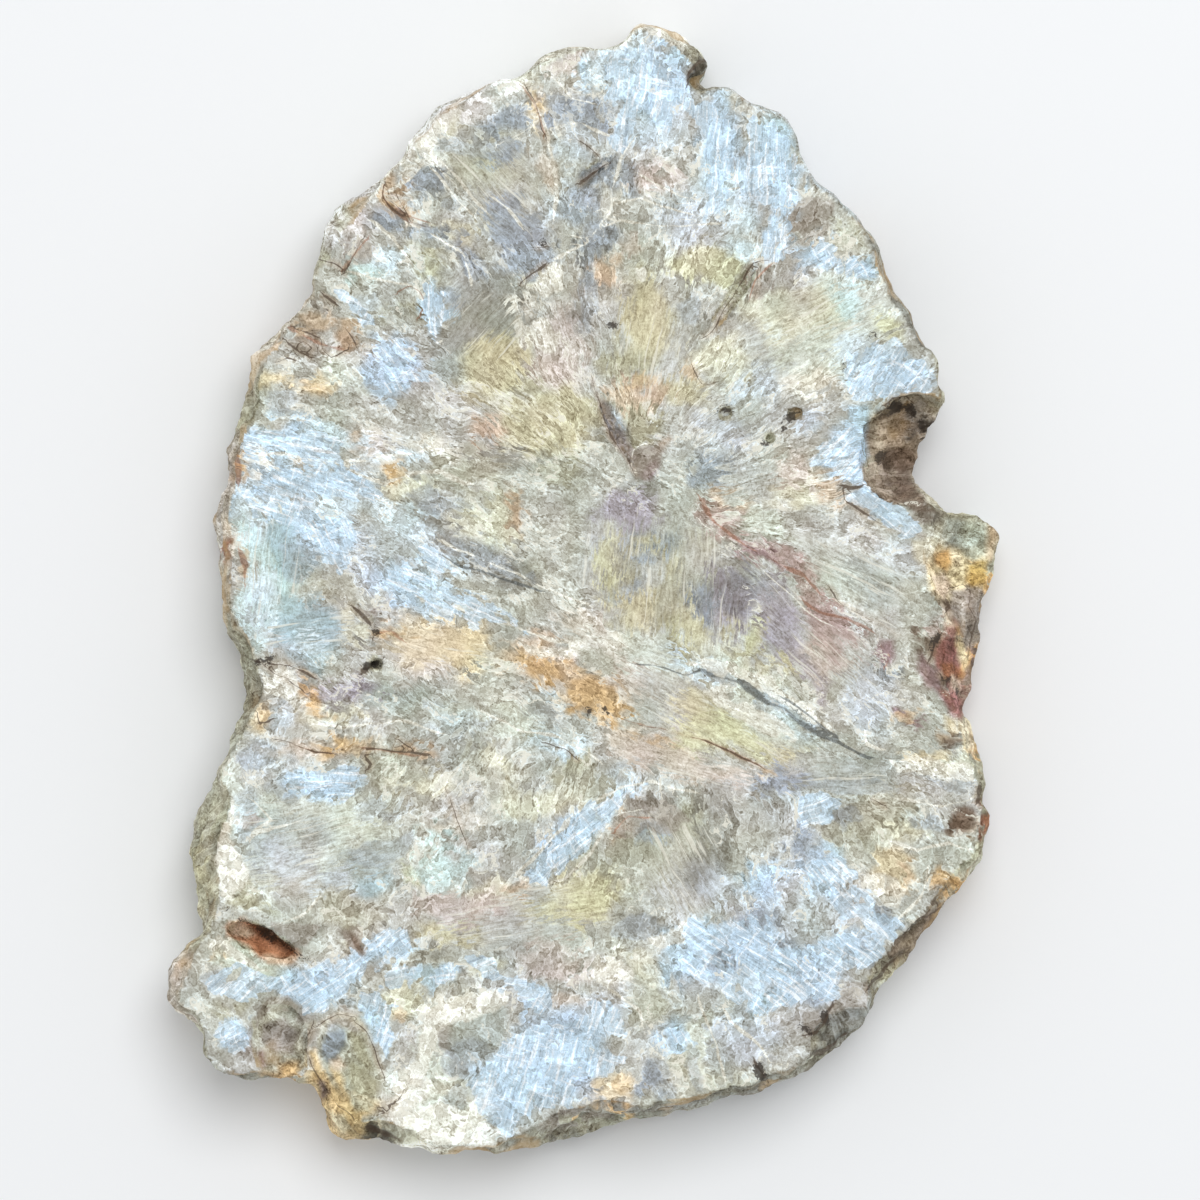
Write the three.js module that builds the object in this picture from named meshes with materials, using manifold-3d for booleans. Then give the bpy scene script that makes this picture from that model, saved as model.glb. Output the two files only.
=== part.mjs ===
// Petrified wood slice, lying on its sawn back face.
// Millimetres, +Z up. The sawn front face looks up, +Y runs along the slice's length.
// The origin is the middle of the slice's outline, on the surface that it lies on.

import * as THREE from "three";
import { mergeVertices } from "three/addons/utils/BufferGeometryUtils.js";
import Module from "manifold-3d";

// Driving dimensions
const LENGTH = 215; // along Y, over the widest line of the rind
const THICKNESS = 28; // sawn back face to sawn front face
const WAIST = 0.36; // mean height of the widest line, as a share of the thickness
const WAIST_SWING = 0.14; // how much that height varies round the slice
const WAIST_SPACING = 20; // distance over which it varies
const BACK_TUCK = 5; // mean step from the widest line in to the sawn back face
const BACK_TUCK_SWING = 2.5; // how much that step varies round the slice
const BACK_TUCK_SPACING = 26; // distance over which it varies
const BACK_CURVE = 1.7; // how late the wall turns in towards the back face, 1 is a straight slope
const FRONT_CURVE = 1.6; // the same towards the front face
const LUMP_HEIGHT = 1.2; // lumps on the rind
const LUMP_SPACING = 9;
const RIB_HEIGHT = 1; // ribs along the wood's grain, which runs through the thickness
const RIB_SPACING = 4;
const RIB_LENGTH = 22;
const LEDGE_DEPTH = 1; // steps where the rind has split away in blocks
const LEDGE_SPACING = 13;
const LEDGE_RISE = 9;
const WAIST_RELIEF = 0.15; // share of this relief that is left at the widest line
const RELIEF_REACH = 0.3; // distance from that line to full relief, as a share of the thickness
const HOLLOW_ROUGHNESS = 0.16; // lumps in the wall of a hollow, as a share of its size
const HOLLOW_LUMPS = 2; // lumps across half a hollow
const CHIP_BREADTH = 0.7; // how far a chip reaches under the back face, as a share of its height
const CUT_OVERSHOOT = 1; // how far a crack's cutting solid reaches above the front face

// Fineness of the facets
const WALL_LAYERS = 9; // rows of facets from back face to front face
const OUTLINE_STEPS = 290; // facets round the slice
const LEAN_REACH = 6; // facets to each side that set which way the wall leans in
const CRACK_STEPS = 12; // facets along a crack
const HOLLOW_DETAIL = 3; // times that a hollow's twenty-sided start is divided
const CHIP_DETAIL = 2; // the same for chips
const HOLE_DETAIL = 1; // the same for round holes
const MERGE_DISTANCE = 1e-4;

// The widest line of the rind as seen from the front, clockwise from the top.
// Each station is x, y and the width of the rind that slopes up and in to the front face there.
const STATIONS = [
  // tip and the hooked lobe beside it
  [11, 107.5, 1.5], [15.5, 106.5, 2.3], [19.5, 104.5, 2.7], [22.5, 102, 2.7], [24, 100.5, 2.3],
  [23, 98, 1.5], [21.5, 96, 0.6],
  // upper right shoulder
  [26.5, 95, 1.5], [31, 93.5, 1.9], [35.5, 91, 1.5], [39, 87.5, 0.8], [41.5, 82.5, 0.6],
  [44.5, 77.5, 0.8], [48.5, 74.5, 0.8], [52.5, 70.5, 1.1], [55.5, 65, 1], [58, 59, 1.1],
  [61.5, 54, 1.9], [64, 48.5, 1], [66.5, 44, 0.8], [67, 41, 0.6], [66.5, 39, 0.6],
  // hollow in the right edge
  [68, 35, 1.5], [65, 29, 1.5], [63, 23, 1.5], [64.5, 18, 1.5], [69, 14.5, 1.5], [75.5, 13.5, 1.9],
  // stained wall below the hollow
  [79, 10.5, 3], [79, 6, 5], [77.5, 0.5, 6], [76, -4.5, 6], [75.5, -11.5, 6],
  [74, -18.5, 5], [72.5, -23.5, 3],
  // ragged lower right edge
  [74.5, -27, 4], [75.5, -31.5, 3.5], [77, -36.5, 1.5], [76, -40.5, 1.5], [77.5, -44.5, 3.5],
  [76.5, -49, 2.5], [73, -56, 4], [68, -61, 2.7], [64, -66, 2], [61, -71, 3], [57, -75.5, 3.5],
  [55, -80.5, 2], [53, -84, 2], [48, -87.5, 2.7], [42.5, -92, 2.7], [36, -95.5, 3.5], [29, -97.5, 3.5],
  // sloping rind along the bottom
  [20.5, -99.5, 3.5], [11, -102, 4.2], [3.5, -103.5, 6.5], [-4.5, -105.5, 6], [-12, -106.5, 2.3],
  [-19.5, -107, 1.1], [-27.5, -107.5, 1], [-33, -106, 1.5], [-38, -104.5, 2.7], [-42, -104.5, 2.7],
  // rusty lobe and the step beside it
  [-46, -105.5, 4.2], [-48.5, -103, 5.7], [-50, -98, 3.5], [-51.5, -93.5, 1.5], [-55, -93, 1.1],
  [-61.5, -94, 2.7], [-68.5, -93, 1.5], [-71.5, -89.5, 1.1], [-73, -85, 1.1], [-76, -82, 1.5],
  // lower left knob and the rind above it
  [-78.5, -79, 1.5], [-79, -75.5, 2.7], [-78, -71.5, 3.5], [-74.5, -68, 2.7], [-72.5, -66, 3],
  [-73, -60.5, 5], [-74, -55, 5.7], [-75, -50.5, 6.5], [-73.5, -44.5, 5.3], [-72, -39.5, 3.5],
  [-69, -34.5, 0.8],
  // scalloped left edge
  [-66.5, -28.5, 1.5], [-64.5, -23, 1.9], [-65.5, -16.5, 2.7], [-65.5, -12, 2.3], [-68, -8, 2.7],
  [-68, -3.5, 2.7], [-69.5, 3.5, 3], [-70, 8, 3.4], [-71, 12.5, 3], [-69.5, 17, 2.7], [-67.5, 20.5, 1.9],
  [-68.5, 25.5, 3.4], [-66, 32, 2.7], [-63.5, 38.5, 1.9], [-62, 44, 2.3], [-58, 49, 1.9],
  [-53.5, 53.5, 1.5], [-51, 59, 1.5],
  // scalloped upper left edge
  [-49.5, 66.5, 2.7], [-47.5, 72.5, 3.8], [-43, 75, 2.7], [-39, 78, 1.1], [-34.5, 82.5, 1.9],
  [-31, 88, 2.7], [-25.5, 92.5, 2.7], [-18, 96, 2.7], [-12, 97.5, 1.5], [-7.5, 101.5, 1.5],
  [-1.5, 103.5, 1.1], [4, 103, 0.8], [8, 104.5, 0.8],
];

// Hollows in the front face: centre x and y, half length, half width, depth and turn in degrees.
const HOLLOWS = {
  edge_hollow: [62.5, 26.5, 11, 9, 16, 80],
  lobe_notch: [23, 96.8, 3.2, 2.2, 14, 30],
  stained_shoulder: [78, 3.5, 15, 12.5, 12, 100],
  rusty_slot: [-61.2, -67, 7.4, 2.6, 7, -27],
  broken_patch: [-57.5, -87, 8.5, 5.5, 2.6, 100],
  rusty_lobe_face: [-49.5, -101, 9, 7, 5, -62],
  broken_corner: [50.5, -86, 7.5, 6, 4.5, 40],
  leaf_groove: [7.2, 29, 8.8, 1.5, 1.5, -60],
  leaf_flat: [12.5, 24, 3.2, 2.8, 0.9, 0],
  shoulder_trough: [28.5, 55, 8.8, 1.5, 1.6, 55],
  crown_pocket: [2.2, 79.5, 3.4, 1.2, 1.2, 38],
  rust_bed: [-2, -18.5, 10.5, 5, 0.9, -28],
};

// Round holes in the front face: centre x and y, radius and depth.
const HOLES = {
  twin_hole_upper: [40.3, 33, 1.3, 3.5],
  twin_hole_lower: [35.3, 28.5, 1.3, 3.5],
  shallow_hole: [27, 33, 1.6, 1.6],
  pin_hole: [7.3, 50, 0.7, 1.8],
  dark_slot: [-39.6, -14.6, 1.6, 4],
  edge_hole: [-39.3, -8.5, 0.8, 2.2],
};

// Cracks in the front face: width, depth and the points that they run through.
const CRACKS = {
  upper_long: [0.8, 1.6, [[-61, -28], [-50, -29.5], [-38, -30.5], [-30, -32]]],
  lower_long: [0.8, 1.6, [[9.5, -26], [16, -27.5], [22.5, -29], [29, -32], [35.5, -34.5]]],
  grey_double: [1.2, 1.8, [[21, -16.5], [27, -17], [35, -21.5], [43, -26.5], [51, -30]]],
  left_split: [0.8, 1.6, [[-62.5, -13.3], [-57, -14], [-51, -17.5], [-46, -21]]],
};

// Chips off the back face's edge: share of the way round the outline, length and height.
const BACK_CHIPS = [[0.09, 18, 7], [0.31, 22, 6], [0.52, 16, 8], [0.7, 20, 6], [0.88, 14, 7]];

// Scrambling values of the repeatable noise
const SCRAMBLE = [127.1, 311.7, 74.7];
const SCRAMBLE_SCALE = 43758.5453;

const wasm = await Module();
wasm.setup();

// Repeatable noise from -1 to 1, smooth between the corners of a unit grid.
function noise(x, y, z) {
  const cell = [x, y, z].map(Math.floor);
  const blend = [x, y, z].map((v, i) => THREE.MathUtils.smoothstep(v - cell[i], 0, 1));
  let sum = 0;
  for (let corner = 0; corner < 8; corner++) {
    const step = [corner & 1, (corner >> 1) & 1, corner >> 2];
    const at = cell.map((v, i) => v + step[i]);
    const hash = SCRAMBLE_SCALE * Math.sin(at.reduce((s, v, i) => s + v * SCRAMBLE[i], 0));
    const weight = step.reduce((w, s, i) => w * (s ? blend[i] : 1 - blend[i]), 1);
    sum += weight * (hash - Math.floor(hash));
  }
  return 2 * sum - 1;
}

// The merged, closed geometry of a shape, with position as its only attribute.
function closed(geometry) {
  geometry.deleteAttribute("normal");
  geometry.deleteAttribute("uv");
  return mergeVertices(geometry, MERGE_DISTANCE);
}

function toSolid(geometry) {
  return new wasm.Manifold(
    new wasm.Mesh({
      numProp: 3,
      vertProperties: new Float32Array(geometry.attributes.position.array),
      triVerts: new Uint32Array(geometry.index.array),
    }),
  );
}

function toGeometry(solid) {
  const mesh = solid.getMesh();
  return new THREE.BufferGeometry()
    .setAttribute("position", new THREE.BufferAttribute(mesh.vertProperties, 3))
    .setIndex(new THREE.BufferAttribute(mesh.triVerts, 1));
}

// Even steps round the smooth closed curve through the stations, counter-clockwise:
// the place, the rind's width, the widest line's height and the way that the wall leans in.
function outlineSteps() {
  const stations = STATIONS.toReversed();
  const points = stations.map(([x, y]) => new THREE.Vector3(x, y, 0));
  const curve = new THREE.CatmullRomCurve3(points, true, "centripetal");
  const steps = Array.from({ length: OUTLINE_STEPS }, (_, i) => {
    const t = curve.getUtoTmapping(i / OUTLINE_STEPS);
    const station = t * stations.length;
    const before = Math.floor(station) % stations.length;
    const after = (before + 1) % stations.length;
    const place = curve.getPoint(t);
    const swing = WAIST_SWING * noise(place.x / WAIST_SPACING, place.y / WAIST_SPACING, 0);
    return {
      place,
      waist: WAIST + swing,
      rind: THREE.MathUtils.lerp(stations[before][2], stations[after][2], station % 1),
    };
  });
  steps.forEach((step, i) => {
    const ahead = steps[(i + LEAN_REACH) % OUTLINE_STEPS].place;
    const behind = steps[(i + OUTLINE_STEPS - LEAN_REACH) % OUTLINE_STEPS].place;
    const along = ahead.clone().sub(behind).normalize();
    const toPith = step.place.clone().negate().normalize();
    step.inward = new THREE.Vector3(-along.y, along.x, 0).add(toPith).normalize();
  });
  return steps;
}

// How far the wall stands in from the widest line, at a share of the thickness from 0 to 1.
function stepIn(step, share) {
  if (share < step.waist) {
    const { x, y } = step.place;
    const swing = BACK_TUCK_SWING * noise(x / BACK_TUCK_SPACING, y / BACK_TUCK_SPACING, 0);
    return (BACK_TUCK + swing) * (1 - share / step.waist) ** BACK_CURVE;
  }
  return step.rind * ((share - step.waist) / (1 - step.waist)) ** FRONT_CURVE;
}

// How far lumps, ribs and ledges stand out of the wall. The sawn edges are cut through them.
function relief(step, share) {
  const { x, y } = step.place;
  const z = THICKNESS * share;
  const lump = LUMP_HEIGHT * noise(x / LUMP_SPACING, y / LUMP_SPACING, z / LUMP_SPACING);
  const rib = RIB_HEIGHT * noise(x / RIB_SPACING, y / RIB_SPACING, z / RIB_LENGTH);
  const block = noise(x / LEDGE_SPACING, y / LEDGE_SPACING, z / LEDGE_RISE);
  const ledge = (LEDGE_DEPTH / 2) * Math.sign(block);
  const freedom = THREE.MathUtils.smoothstep(Math.abs(share - step.waist), 0, RELIEF_REACH);
  return (lump + rib + ledge) * THREE.MathUtils.lerp(WAIST_RELIEF, 1, freedom);
}

// The slab: rings of points up the wall, joined by facets, with a sawn face at each end.
function slab(steps) {
  const rings = Array.from({ length: WALL_LAYERS + 1 }, (_, layer) => {
    const share = layer / WALL_LAYERS;
    return steps.map((step) => {
      const depth = stepIn(step, share) - relief(step, share);
      return step.place.clone().addScaledVector(step.inward, depth).setZ(THICKNESS * share);
    });
  });
  const index = (layer, i) => layer * OUTLINE_STEPS + (i % OUTLINE_STEPS);
  const facets = [];
  for (let layer = 0; layer < WALL_LAYERS; layer++) {
    for (let i = 0; i < OUTLINE_STEPS; i++) {
      const [a, b] = [index(layer, i), index(layer, i + 1)];
      const [c, d] = [index(layer + 1, i), index(layer + 1, i + 1)];
      facets.push(a, b, c, b, d, c);
    }
  }
  for (const [a, b, c] of THREE.ShapeUtils.triangulateShape(rings[WALL_LAYERS], [])) {
    facets.push(index(WALL_LAYERS, a), index(WALL_LAYERS, b), index(WALL_LAYERS, c));
  }
  for (const [a, b, c] of THREE.ShapeUtils.triangulateShape(rings[0], [])) {
    facets.push(a, c, b);
  }
  const geometry = new THREE.BufferGeometry().setFromPoints(rings.flat()).setIndex(facets);
  return toSolid(geometry);
}

// A rough pebble of the given half sizes, turned about the upright axis, used to cut a hollow.
function pebble(halfSizes, angle, place, detail) {
  const geometry = closed(new THREE.IcosahedronGeometry(1, detail));
  const position = geometry.attributes.position;
  for (let i = 0; i < position.count; i++) {
    const p = new THREE.Vector3().fromBufferAttribute(position, i);
    const q = p.clone().multiplyScalar(HOLLOW_LUMPS).add(place);
    p.multiplyScalar(1 + HOLLOW_ROUGHNESS * noise(q.x, q.y, q.z)).multiply(halfSizes);
    position.setXYZ(i, p.x, p.y, p.z);
  }
  geometry.rotateZ(angle);
  geometry.translate(place.x, place.y, place.z);
  return toSolid(geometry);
}

function hollow([x, y, halfLength, halfWidth, depth, turn]) {
  const halfSizes = new THREE.Vector3(halfLength, halfWidth, depth);
  const angle = THREE.MathUtils.degToRad(turn);
  return pebble(halfSizes, angle, new THREE.Vector3(x, y, THICKNESS), HOLLOW_DETAIL);
}

function hole([x, y, radius, depth]) {
  const halfSizes = new THREE.Vector3(radius, radius, depth);
  return pebble(halfSizes, 0, new THREE.Vector3(x, y, THICKNESS), HOLE_DETAIL);
}

// A V-shaped groove swept along the crack, standing a little above the front face.
function crack([width, depth, points]) {
  const path = new THREE.CatmullRomCurve3(points.map(([x, y]) => new THREE.Vector3(x, y, THICKNESS)));
  const section = new THREE.Shape([
    new THREE.Vector2(depth, 0),
    new THREE.Vector2(-CUT_OVERSHOOT, width),
    new THREE.Vector2(-CUT_OVERSHOOT, -width),
  ]);
  return toSolid(closed(new THREE.ExtrudeGeometry(section, { steps: CRACK_STEPS, extrudePath: path })));
}

// A bite out of the edge between the wall and the back face.
function backChip([share, length, height], steps) {
  const step = steps[Math.round(share * OUTLINE_STEPS)];
  const place = step.place.clone().addScaledVector(step.inward, BACK_TUCK);
  const halfSizes = new THREE.Vector3(length / 2, height * CHIP_BREADTH, height);
  const along = Math.atan2(-step.inward.x, step.inward.y);
  return pebble(halfSizes, along, place, CHIP_DETAIL);
}

function slice() {
  const steps = outlineSteps();
  const cuts = [
    ...Object.values(HOLLOWS).map(hollow),
    ...Object.values(HOLES).map(hole),
    ...Object.values(CRACKS).map(crack),
    ...BACK_CHIPS.map((chip) => backChip(chip, steps)),
  ];
  const cut = cuts.reduce((stone, cutter) => stone.subtract(cutter), slab(steps));
  const whole = cut.decompose().sort((a, b) => b.volume() - a.volume())[0];
  const { min, max } = whole.boundingBox();
  const scale = LENGTH / (max[1] - min[1]);
  const geometry = toGeometry(whole);
  geometry.translate(-(min[0] + max[0]) / 2, -(min[1] + max[1]) / 2, 0);
  geometry.scale(scale, scale, 1);
  return geometry;
}

const stone = new THREE.MeshStandardMaterial({ color: 0xb9b39c, roughness: 0.85, metalness: 0 });
const mesh = new THREE.Mesh(slice(), stone);
mesh.name = "petrified_wood_slice";

const part = new THREE.Group();
part.add(mesh);

export default part;
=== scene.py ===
# %% [markdown]
# # A slice of petrified wood
# A trunk that turned to stone, sawn across, lies on its back with the sawn face up.
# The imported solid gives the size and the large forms. This lesson makes its fine surface:
# the rough rind, the cracks, and a face that is mottled in many colours.

import bpy
import numpy as np
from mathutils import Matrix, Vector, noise
from mathutils.kdtree import KDTree


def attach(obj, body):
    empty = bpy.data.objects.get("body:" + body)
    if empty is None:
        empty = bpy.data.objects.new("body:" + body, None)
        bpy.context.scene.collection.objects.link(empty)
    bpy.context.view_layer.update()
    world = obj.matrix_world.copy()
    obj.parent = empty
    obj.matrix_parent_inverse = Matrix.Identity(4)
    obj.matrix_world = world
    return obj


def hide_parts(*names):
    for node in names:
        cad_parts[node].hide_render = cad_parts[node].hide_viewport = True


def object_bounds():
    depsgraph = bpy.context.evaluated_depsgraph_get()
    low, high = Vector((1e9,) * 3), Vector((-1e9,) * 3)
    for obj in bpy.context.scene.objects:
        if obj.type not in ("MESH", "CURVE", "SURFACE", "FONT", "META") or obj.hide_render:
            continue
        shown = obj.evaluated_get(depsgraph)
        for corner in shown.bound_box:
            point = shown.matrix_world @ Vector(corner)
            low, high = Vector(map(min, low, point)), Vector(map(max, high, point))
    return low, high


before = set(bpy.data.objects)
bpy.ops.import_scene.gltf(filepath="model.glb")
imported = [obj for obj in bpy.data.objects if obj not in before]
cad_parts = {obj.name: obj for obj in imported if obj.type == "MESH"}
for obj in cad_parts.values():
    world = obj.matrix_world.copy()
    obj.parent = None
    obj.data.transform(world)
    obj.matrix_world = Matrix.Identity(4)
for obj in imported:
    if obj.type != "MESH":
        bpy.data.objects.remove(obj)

cad_low, cad_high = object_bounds()
print("solid, in metres:", [round(high - low, 4) for low, high in zip(cad_low, cad_high)])

# %% [markdown]
# ## The view
# The slice can't stand unheld, so it lies down and the camera looks straight down on it.
# A long lens far away keeps the outline nearly free of perspective. The places of cracks and
# stains were picked on the photograph, so the same numbers also tell at which pixel of the
# picture any point of the stone shows. A lens with more perspective would need a
# correction for every height.

# %% Camera
PICTURE = 1200  # pixels along each side of the picture
PIXEL = 0.000191  # one pixel on the stone, in metres
ORIGIN_PIXEL = (583, 588)  # where the slice's origin shows
OUTLINE_HEIGHT = 0.010  # height of the slice's widest line, where that scale holds
VIEW_DISTANCE = 2.0
SENSOR_WIDTH = 36.0
VIEW_END = 100  # metres beyond which nothing is drawn

eye = np.array([
    (PICTURE / 2 - ORIGIN_PIXEL[0]) * PIXEL,
    (ORIGIN_PIXEL[1] - PICTURE / 2) * PIXEL,
    OUTLINE_HEIGHT + VIEW_DISTANCE,
])
bpy.ops.object.camera_add(location=eye, rotation=(0, 0, 0))
camera = bpy.context.object
camera.name = "camera"
camera.data.sensor_width = SENSOR_WIDTH
camera.data.lens = SENSOR_WIDTH * VIEW_DISTANCE / (PICTURE * PIXEL)
camera.data.clip_end = VIEW_END
bpy.context.scene.camera = camera


def pixels_of(points):
    """The column and row of the picture at which each point of the stone shows."""
    spread = VIEW_DISTANCE / PIXEL / (eye[2] - points[:, 2])
    columns = PICTURE / 2 + (points[:, 0] - eye[0]) * spread
    rows = PICTURE / 2 - (points[:, 1] - eye[1]) * spread
    return np.column_stack([columns, rows])


print("lens:", round(camera.data.lens), "mm")

# %% [markdown]
# ## Floor and light
# The slice lies on a pale floor. One wide soft lamp hangs above it, a little to the upper
# right, and an even sky fills the shadows, as in a small studio. Several lamps would do too,
# but one keeps the lumps of the rind easy to read. The plain view transform keeps the colours
# as they are mixed below.

# %% Floor and light
FLOOR_SIZE = 60
FLOOR_TONE = (240, 242, 244)
FLOOR_ROUGHNESS = 0.9
FLOOR_GLOSS = 0.1
LAMP_PLACE = (0.22, 0.5, 1.6)
LAMP_SIZE = 1.0
LAMP_POWER = 13.6
SKY_STRENGTH = 0.62


def linear(red, green, blue):
    """A colour given as on a screen, 0 to 255, in the linear scale that the renderer uses."""
    # The numbers are the standard curve of screens
    shares = np.array([red, green, blue]) / 255
    return np.where(shares <= 0.04045, shares / 12.92, ((shares + 0.055) / 1.055) ** 2.4)


bpy.ops.object.select_all(action="DESELECT")
bpy.ops.mesh.primitive_plane_add(size=FLOOR_SIZE, location=(0, 0, 0))
floor = bpy.context.object
floor.name = "floor"
floor_paint = bpy.data.materials.new("pale_floor")
floor_paint.use_nodes = True
floor_shader = floor_paint.node_tree.nodes["Principled BSDF"]
floor_shader.inputs["Base Color"].default_value = (*linear(*FLOOR_TONE), 1)
floor_shader.inputs["Roughness"].default_value = FLOOR_ROUGHNESS
floor_shader.inputs["Specular IOR Level"].default_value = FLOOR_GLOSS
floor.data.materials.append(floor_paint)

bpy.ops.object.light_add(type="AREA", location=LAMP_PLACE)
lamp = bpy.context.object
lamp.name = "soft_lamp"
lamp.data.shape = "DISK"
lamp.data.size = LAMP_SIZE
lamp.data.energy = LAMP_POWER
aim = floor.location - lamp.location
lamp.rotation_mode = "QUATERNION"
lamp.rotation_quaternion = aim.to_track_quat("-Z", "Y")

sky = bpy.data.worlds.new("even_sky")
sky.use_nodes = True
background = sky.node_tree.nodes["Background"]
background.inputs["Color"].default_value = (1, 1, 1, 1)
background.inputs["Strength"].default_value = SKY_STRENGTH
bpy.context.scene.world = sky
bpy.context.scene.view_settings.view_transform = "Standard"
print("lamp at", LAMP_PLACE, "and a sky of strength", SKY_STRENGTH)

# %% [markdown]
# ## The fine mesh
# The solid's facets are large. A copy of it is merged and remeshed into small even quads,
# which is what clay would be in a sculpting program: it can be dented anywhere. Subdividing
# it would keep its uneven facets. The sawn back is flat, so most of its points go again.

# %% Copy the solid and remesh the copy
GRAIN_OF_MESH = 0.00075
MERGE_DISTANCE = 1e-6
BACK_UPRIGHT = 0.98  # how straight down a face of the sawn back looks, where 1 is straight
BACK_SHARE = 0.06  # share of the back face's points that is kept
NODE = "petrified_wood_slice"

stone = bpy.data.objects.new("sawn_fossil_slice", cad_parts[NODE].data.copy())
bpy.context.scene.collection.objects.link(stone)
stone.data.materials.clear()
bpy.ops.object.select_all(action="DESELECT")
stone.select_set(True)
bpy.context.view_layer.objects.active = stone
bpy.ops.object.mode_set(mode="EDIT")
bpy.ops.mesh.select_all(action="SELECT")
bpy.ops.mesh.remove_doubles(threshold=MERGE_DISTANCE)
bpy.ops.object.mode_set(mode="OBJECT")
remesh = stone.modifiers.new("even_quads", "REMESH")
remesh.mode = "VOXEL"
remesh.voxel_size = GRAIN_OF_MESH
remesh.use_smooth_shade = True
bpy.ops.object.modifier_apply(modifier=remesh.name)
for polygon in stone.data.polygons:
    polygon.select = polygon.center.z < GRAIN_OF_MESH and polygon.normal.z < -BACK_UPRIGHT
bpy.ops.object.mode_set(mode="EDIT")
bpy.ops.mesh.decimate(ratio=BACK_SHARE)
bpy.ops.object.mode_set(mode="OBJECT")
print("triangles:", sum(len(polygon.vertices) - 2 for polygon in stone.data.polygons))


def read_points():
    """The stone's points in metres, one row each."""
    values = np.empty(len(stone.data.vertices) * 3, np.float32)
    stone.data.vertices.foreach_get("co", values)
    return values.reshape(-1, 3).astype(float)


def read_normals():
    """The direction in which the surface looks at each point."""
    values = np.empty(len(stone.data.vertices) * 3, np.float32)
    stone.data.vertex_normals.foreach_get("vector", values)
    return values.reshape(-1, 3).astype(float)


# %% [markdown]
# ## Which points are rind
# Everything that the saw didn't cut flat is rind: the wall all round, and the hollows in its
# edge. It could be selected by hand. Here a point counts as rind if it lies below the face or
# on a slope, close to the wall, so that the choice follows the solid if its size changes.

# %% Find the rind
FACE_HEIGHT = cad_high.z
WALL_HEIGHT = 0.020  # points below this are surely wall
FACE_SLACK = 0.0012  # points this far below the face may still belong to it
EDGE_REACH = 0.008
BACK_SLACK = 0.0004  # points up to this height may belong to the back
STEEP = 0.8  # upward part of the normal below which a surface is a slope

base_points = read_points()
base_normals = read_normals()
pixels = pixels_of(base_points)


def distance_to(targets):
    """Distance of every point from the nearest of some points, seen from above, in metres."""
    tree = KDTree(len(targets))
    for i, (x, y, _) in enumerate(targets):
        tree.insert((x, y, 0), i)
    tree.balance()
    return np.array([tree.find((x, y, 0))[2] for x, y, _ in base_points])


heights = base_points[:, 2]
near_wall = distance_to(base_points[heights < WALL_HEIGHT]) < EDGE_REACH
off_face = (heights < FACE_HEIGHT - FACE_SLACK) | (base_normals[:, 2] < STEEP)
is_back = (heights < BACK_SLACK) & (base_normals[:, 2] < -STEEP)
is_rind = off_face & near_wall & ~is_back
print("rind points:", int(is_rind.sum()), "of", len(is_rind))

# %% [markdown]
# ## Drawing on the stone
# Three ways of drawing are enough: a patch with a given outline, an oval, and a line.
# Each is turned into a distance in pixels for every point of the mesh, positive inside.
# The pixels are first shaken a little, so that no outline stays straight. A painted image
# could hold the same marks, but its pixels would show up close, and a distance has none.

# %% Shake the pixels
REACH = 30  # pixels beyond which a distance isn't followed
WANDER = ((38, 7.0), (15, 5.0), (7, 3.0))  # spacing and size of the shake, in pixels
SMALL_WANDER = ((38, 4.0), (13, 1.5))
WANDER_SEED = 3.3
ROW_SEED = 4.4  # added to the seed for the shake along the rows


def drift(spots, spacing, seed):
    """Smooth noise from -1 to 1 over the picture."""
    return np.array([noise.noise((column / spacing, row / spacing, seed)) for column, row in spots])


def shake(seed, wander):
    """The pixels of all points, each moved a little."""
    moved = pixels.copy()
    for spacing, size in wander:
        moved[:, 0] += size * drift(pixels, spacing, seed)
        moved[:, 1] += size * drift(pixels, spacing, seed + ROW_SEED)
    return moved


shaken = shake(WANDER_SEED, WANDER)
barely_shaken = shake(WANDER_SEED, SMALL_WANDER)
print("largest shake:", np.abs(shaken - pixels).max().round(1), "pixels")

# %% Patches, ovals and lines


def picked(text):
    """Points picked on the picture, written as column,row pairs."""
    return np.array([pair.split(",") for pair in text.split()], float)


def near(spots, corners, margin=REACH):
    """Which spots lie in the box around some points."""
    low = corners.min(0) - margin
    high = corners.max(0) + margin
    return np.flatnonzero(((spots > low) & (spots < high)).all(1))


def to_segment(spots, start, end):
    """Distance and side of spots from a straight stretch."""
    run = end - start
    share = np.clip((spots - start) @ run / (run @ run), 0, 1)
    offset = spots - start - share[:, None] * run
    side = np.sign(run[0] * offset[:, 1] - run[1] * offset[:, 0])
    return np.hypot(*offset.T), side


def patch(outline, spots=shaken):
    """How far inside a closed outline each spot is."""
    field = np.full(len(spots), -float(REACH))
    close = near(spots, outline)
    nearest = np.full(len(close), np.inf)
    inside = np.zeros(len(close), bool)
    x, y = spots[close].T
    for start, end in zip(outline, np.roll(outline, -1, 0)):
        nearest = np.minimum(nearest, to_segment(spots[close], start, end)[0])
        crosses = (start[1] > y) != (end[1] > y)
        rise = end[1] - start[1] if end[1] != start[1] else 1
        inside ^= crosses & (x < start[0] + (end[0] - start[0]) * (y - start[1]) / rise)
    field[close] = np.where(inside, nearest, -nearest)
    return np.clip(field, -REACH, REACH)


def oval(column, row, half_length, half_width, turn=0.0, spots=shaken):
    """0 in the middle of an oval, 1 on its outline."""
    angle = np.radians(turn)
    x = spots[:, 0] - column
    y = row - spots[:, 1]
    along = (x * np.cos(angle) + y * np.sin(angle)) / half_length
    across = (y * np.cos(angle) - x * np.sin(angle)) / half_width
    return np.hypot(along, across)


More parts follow.
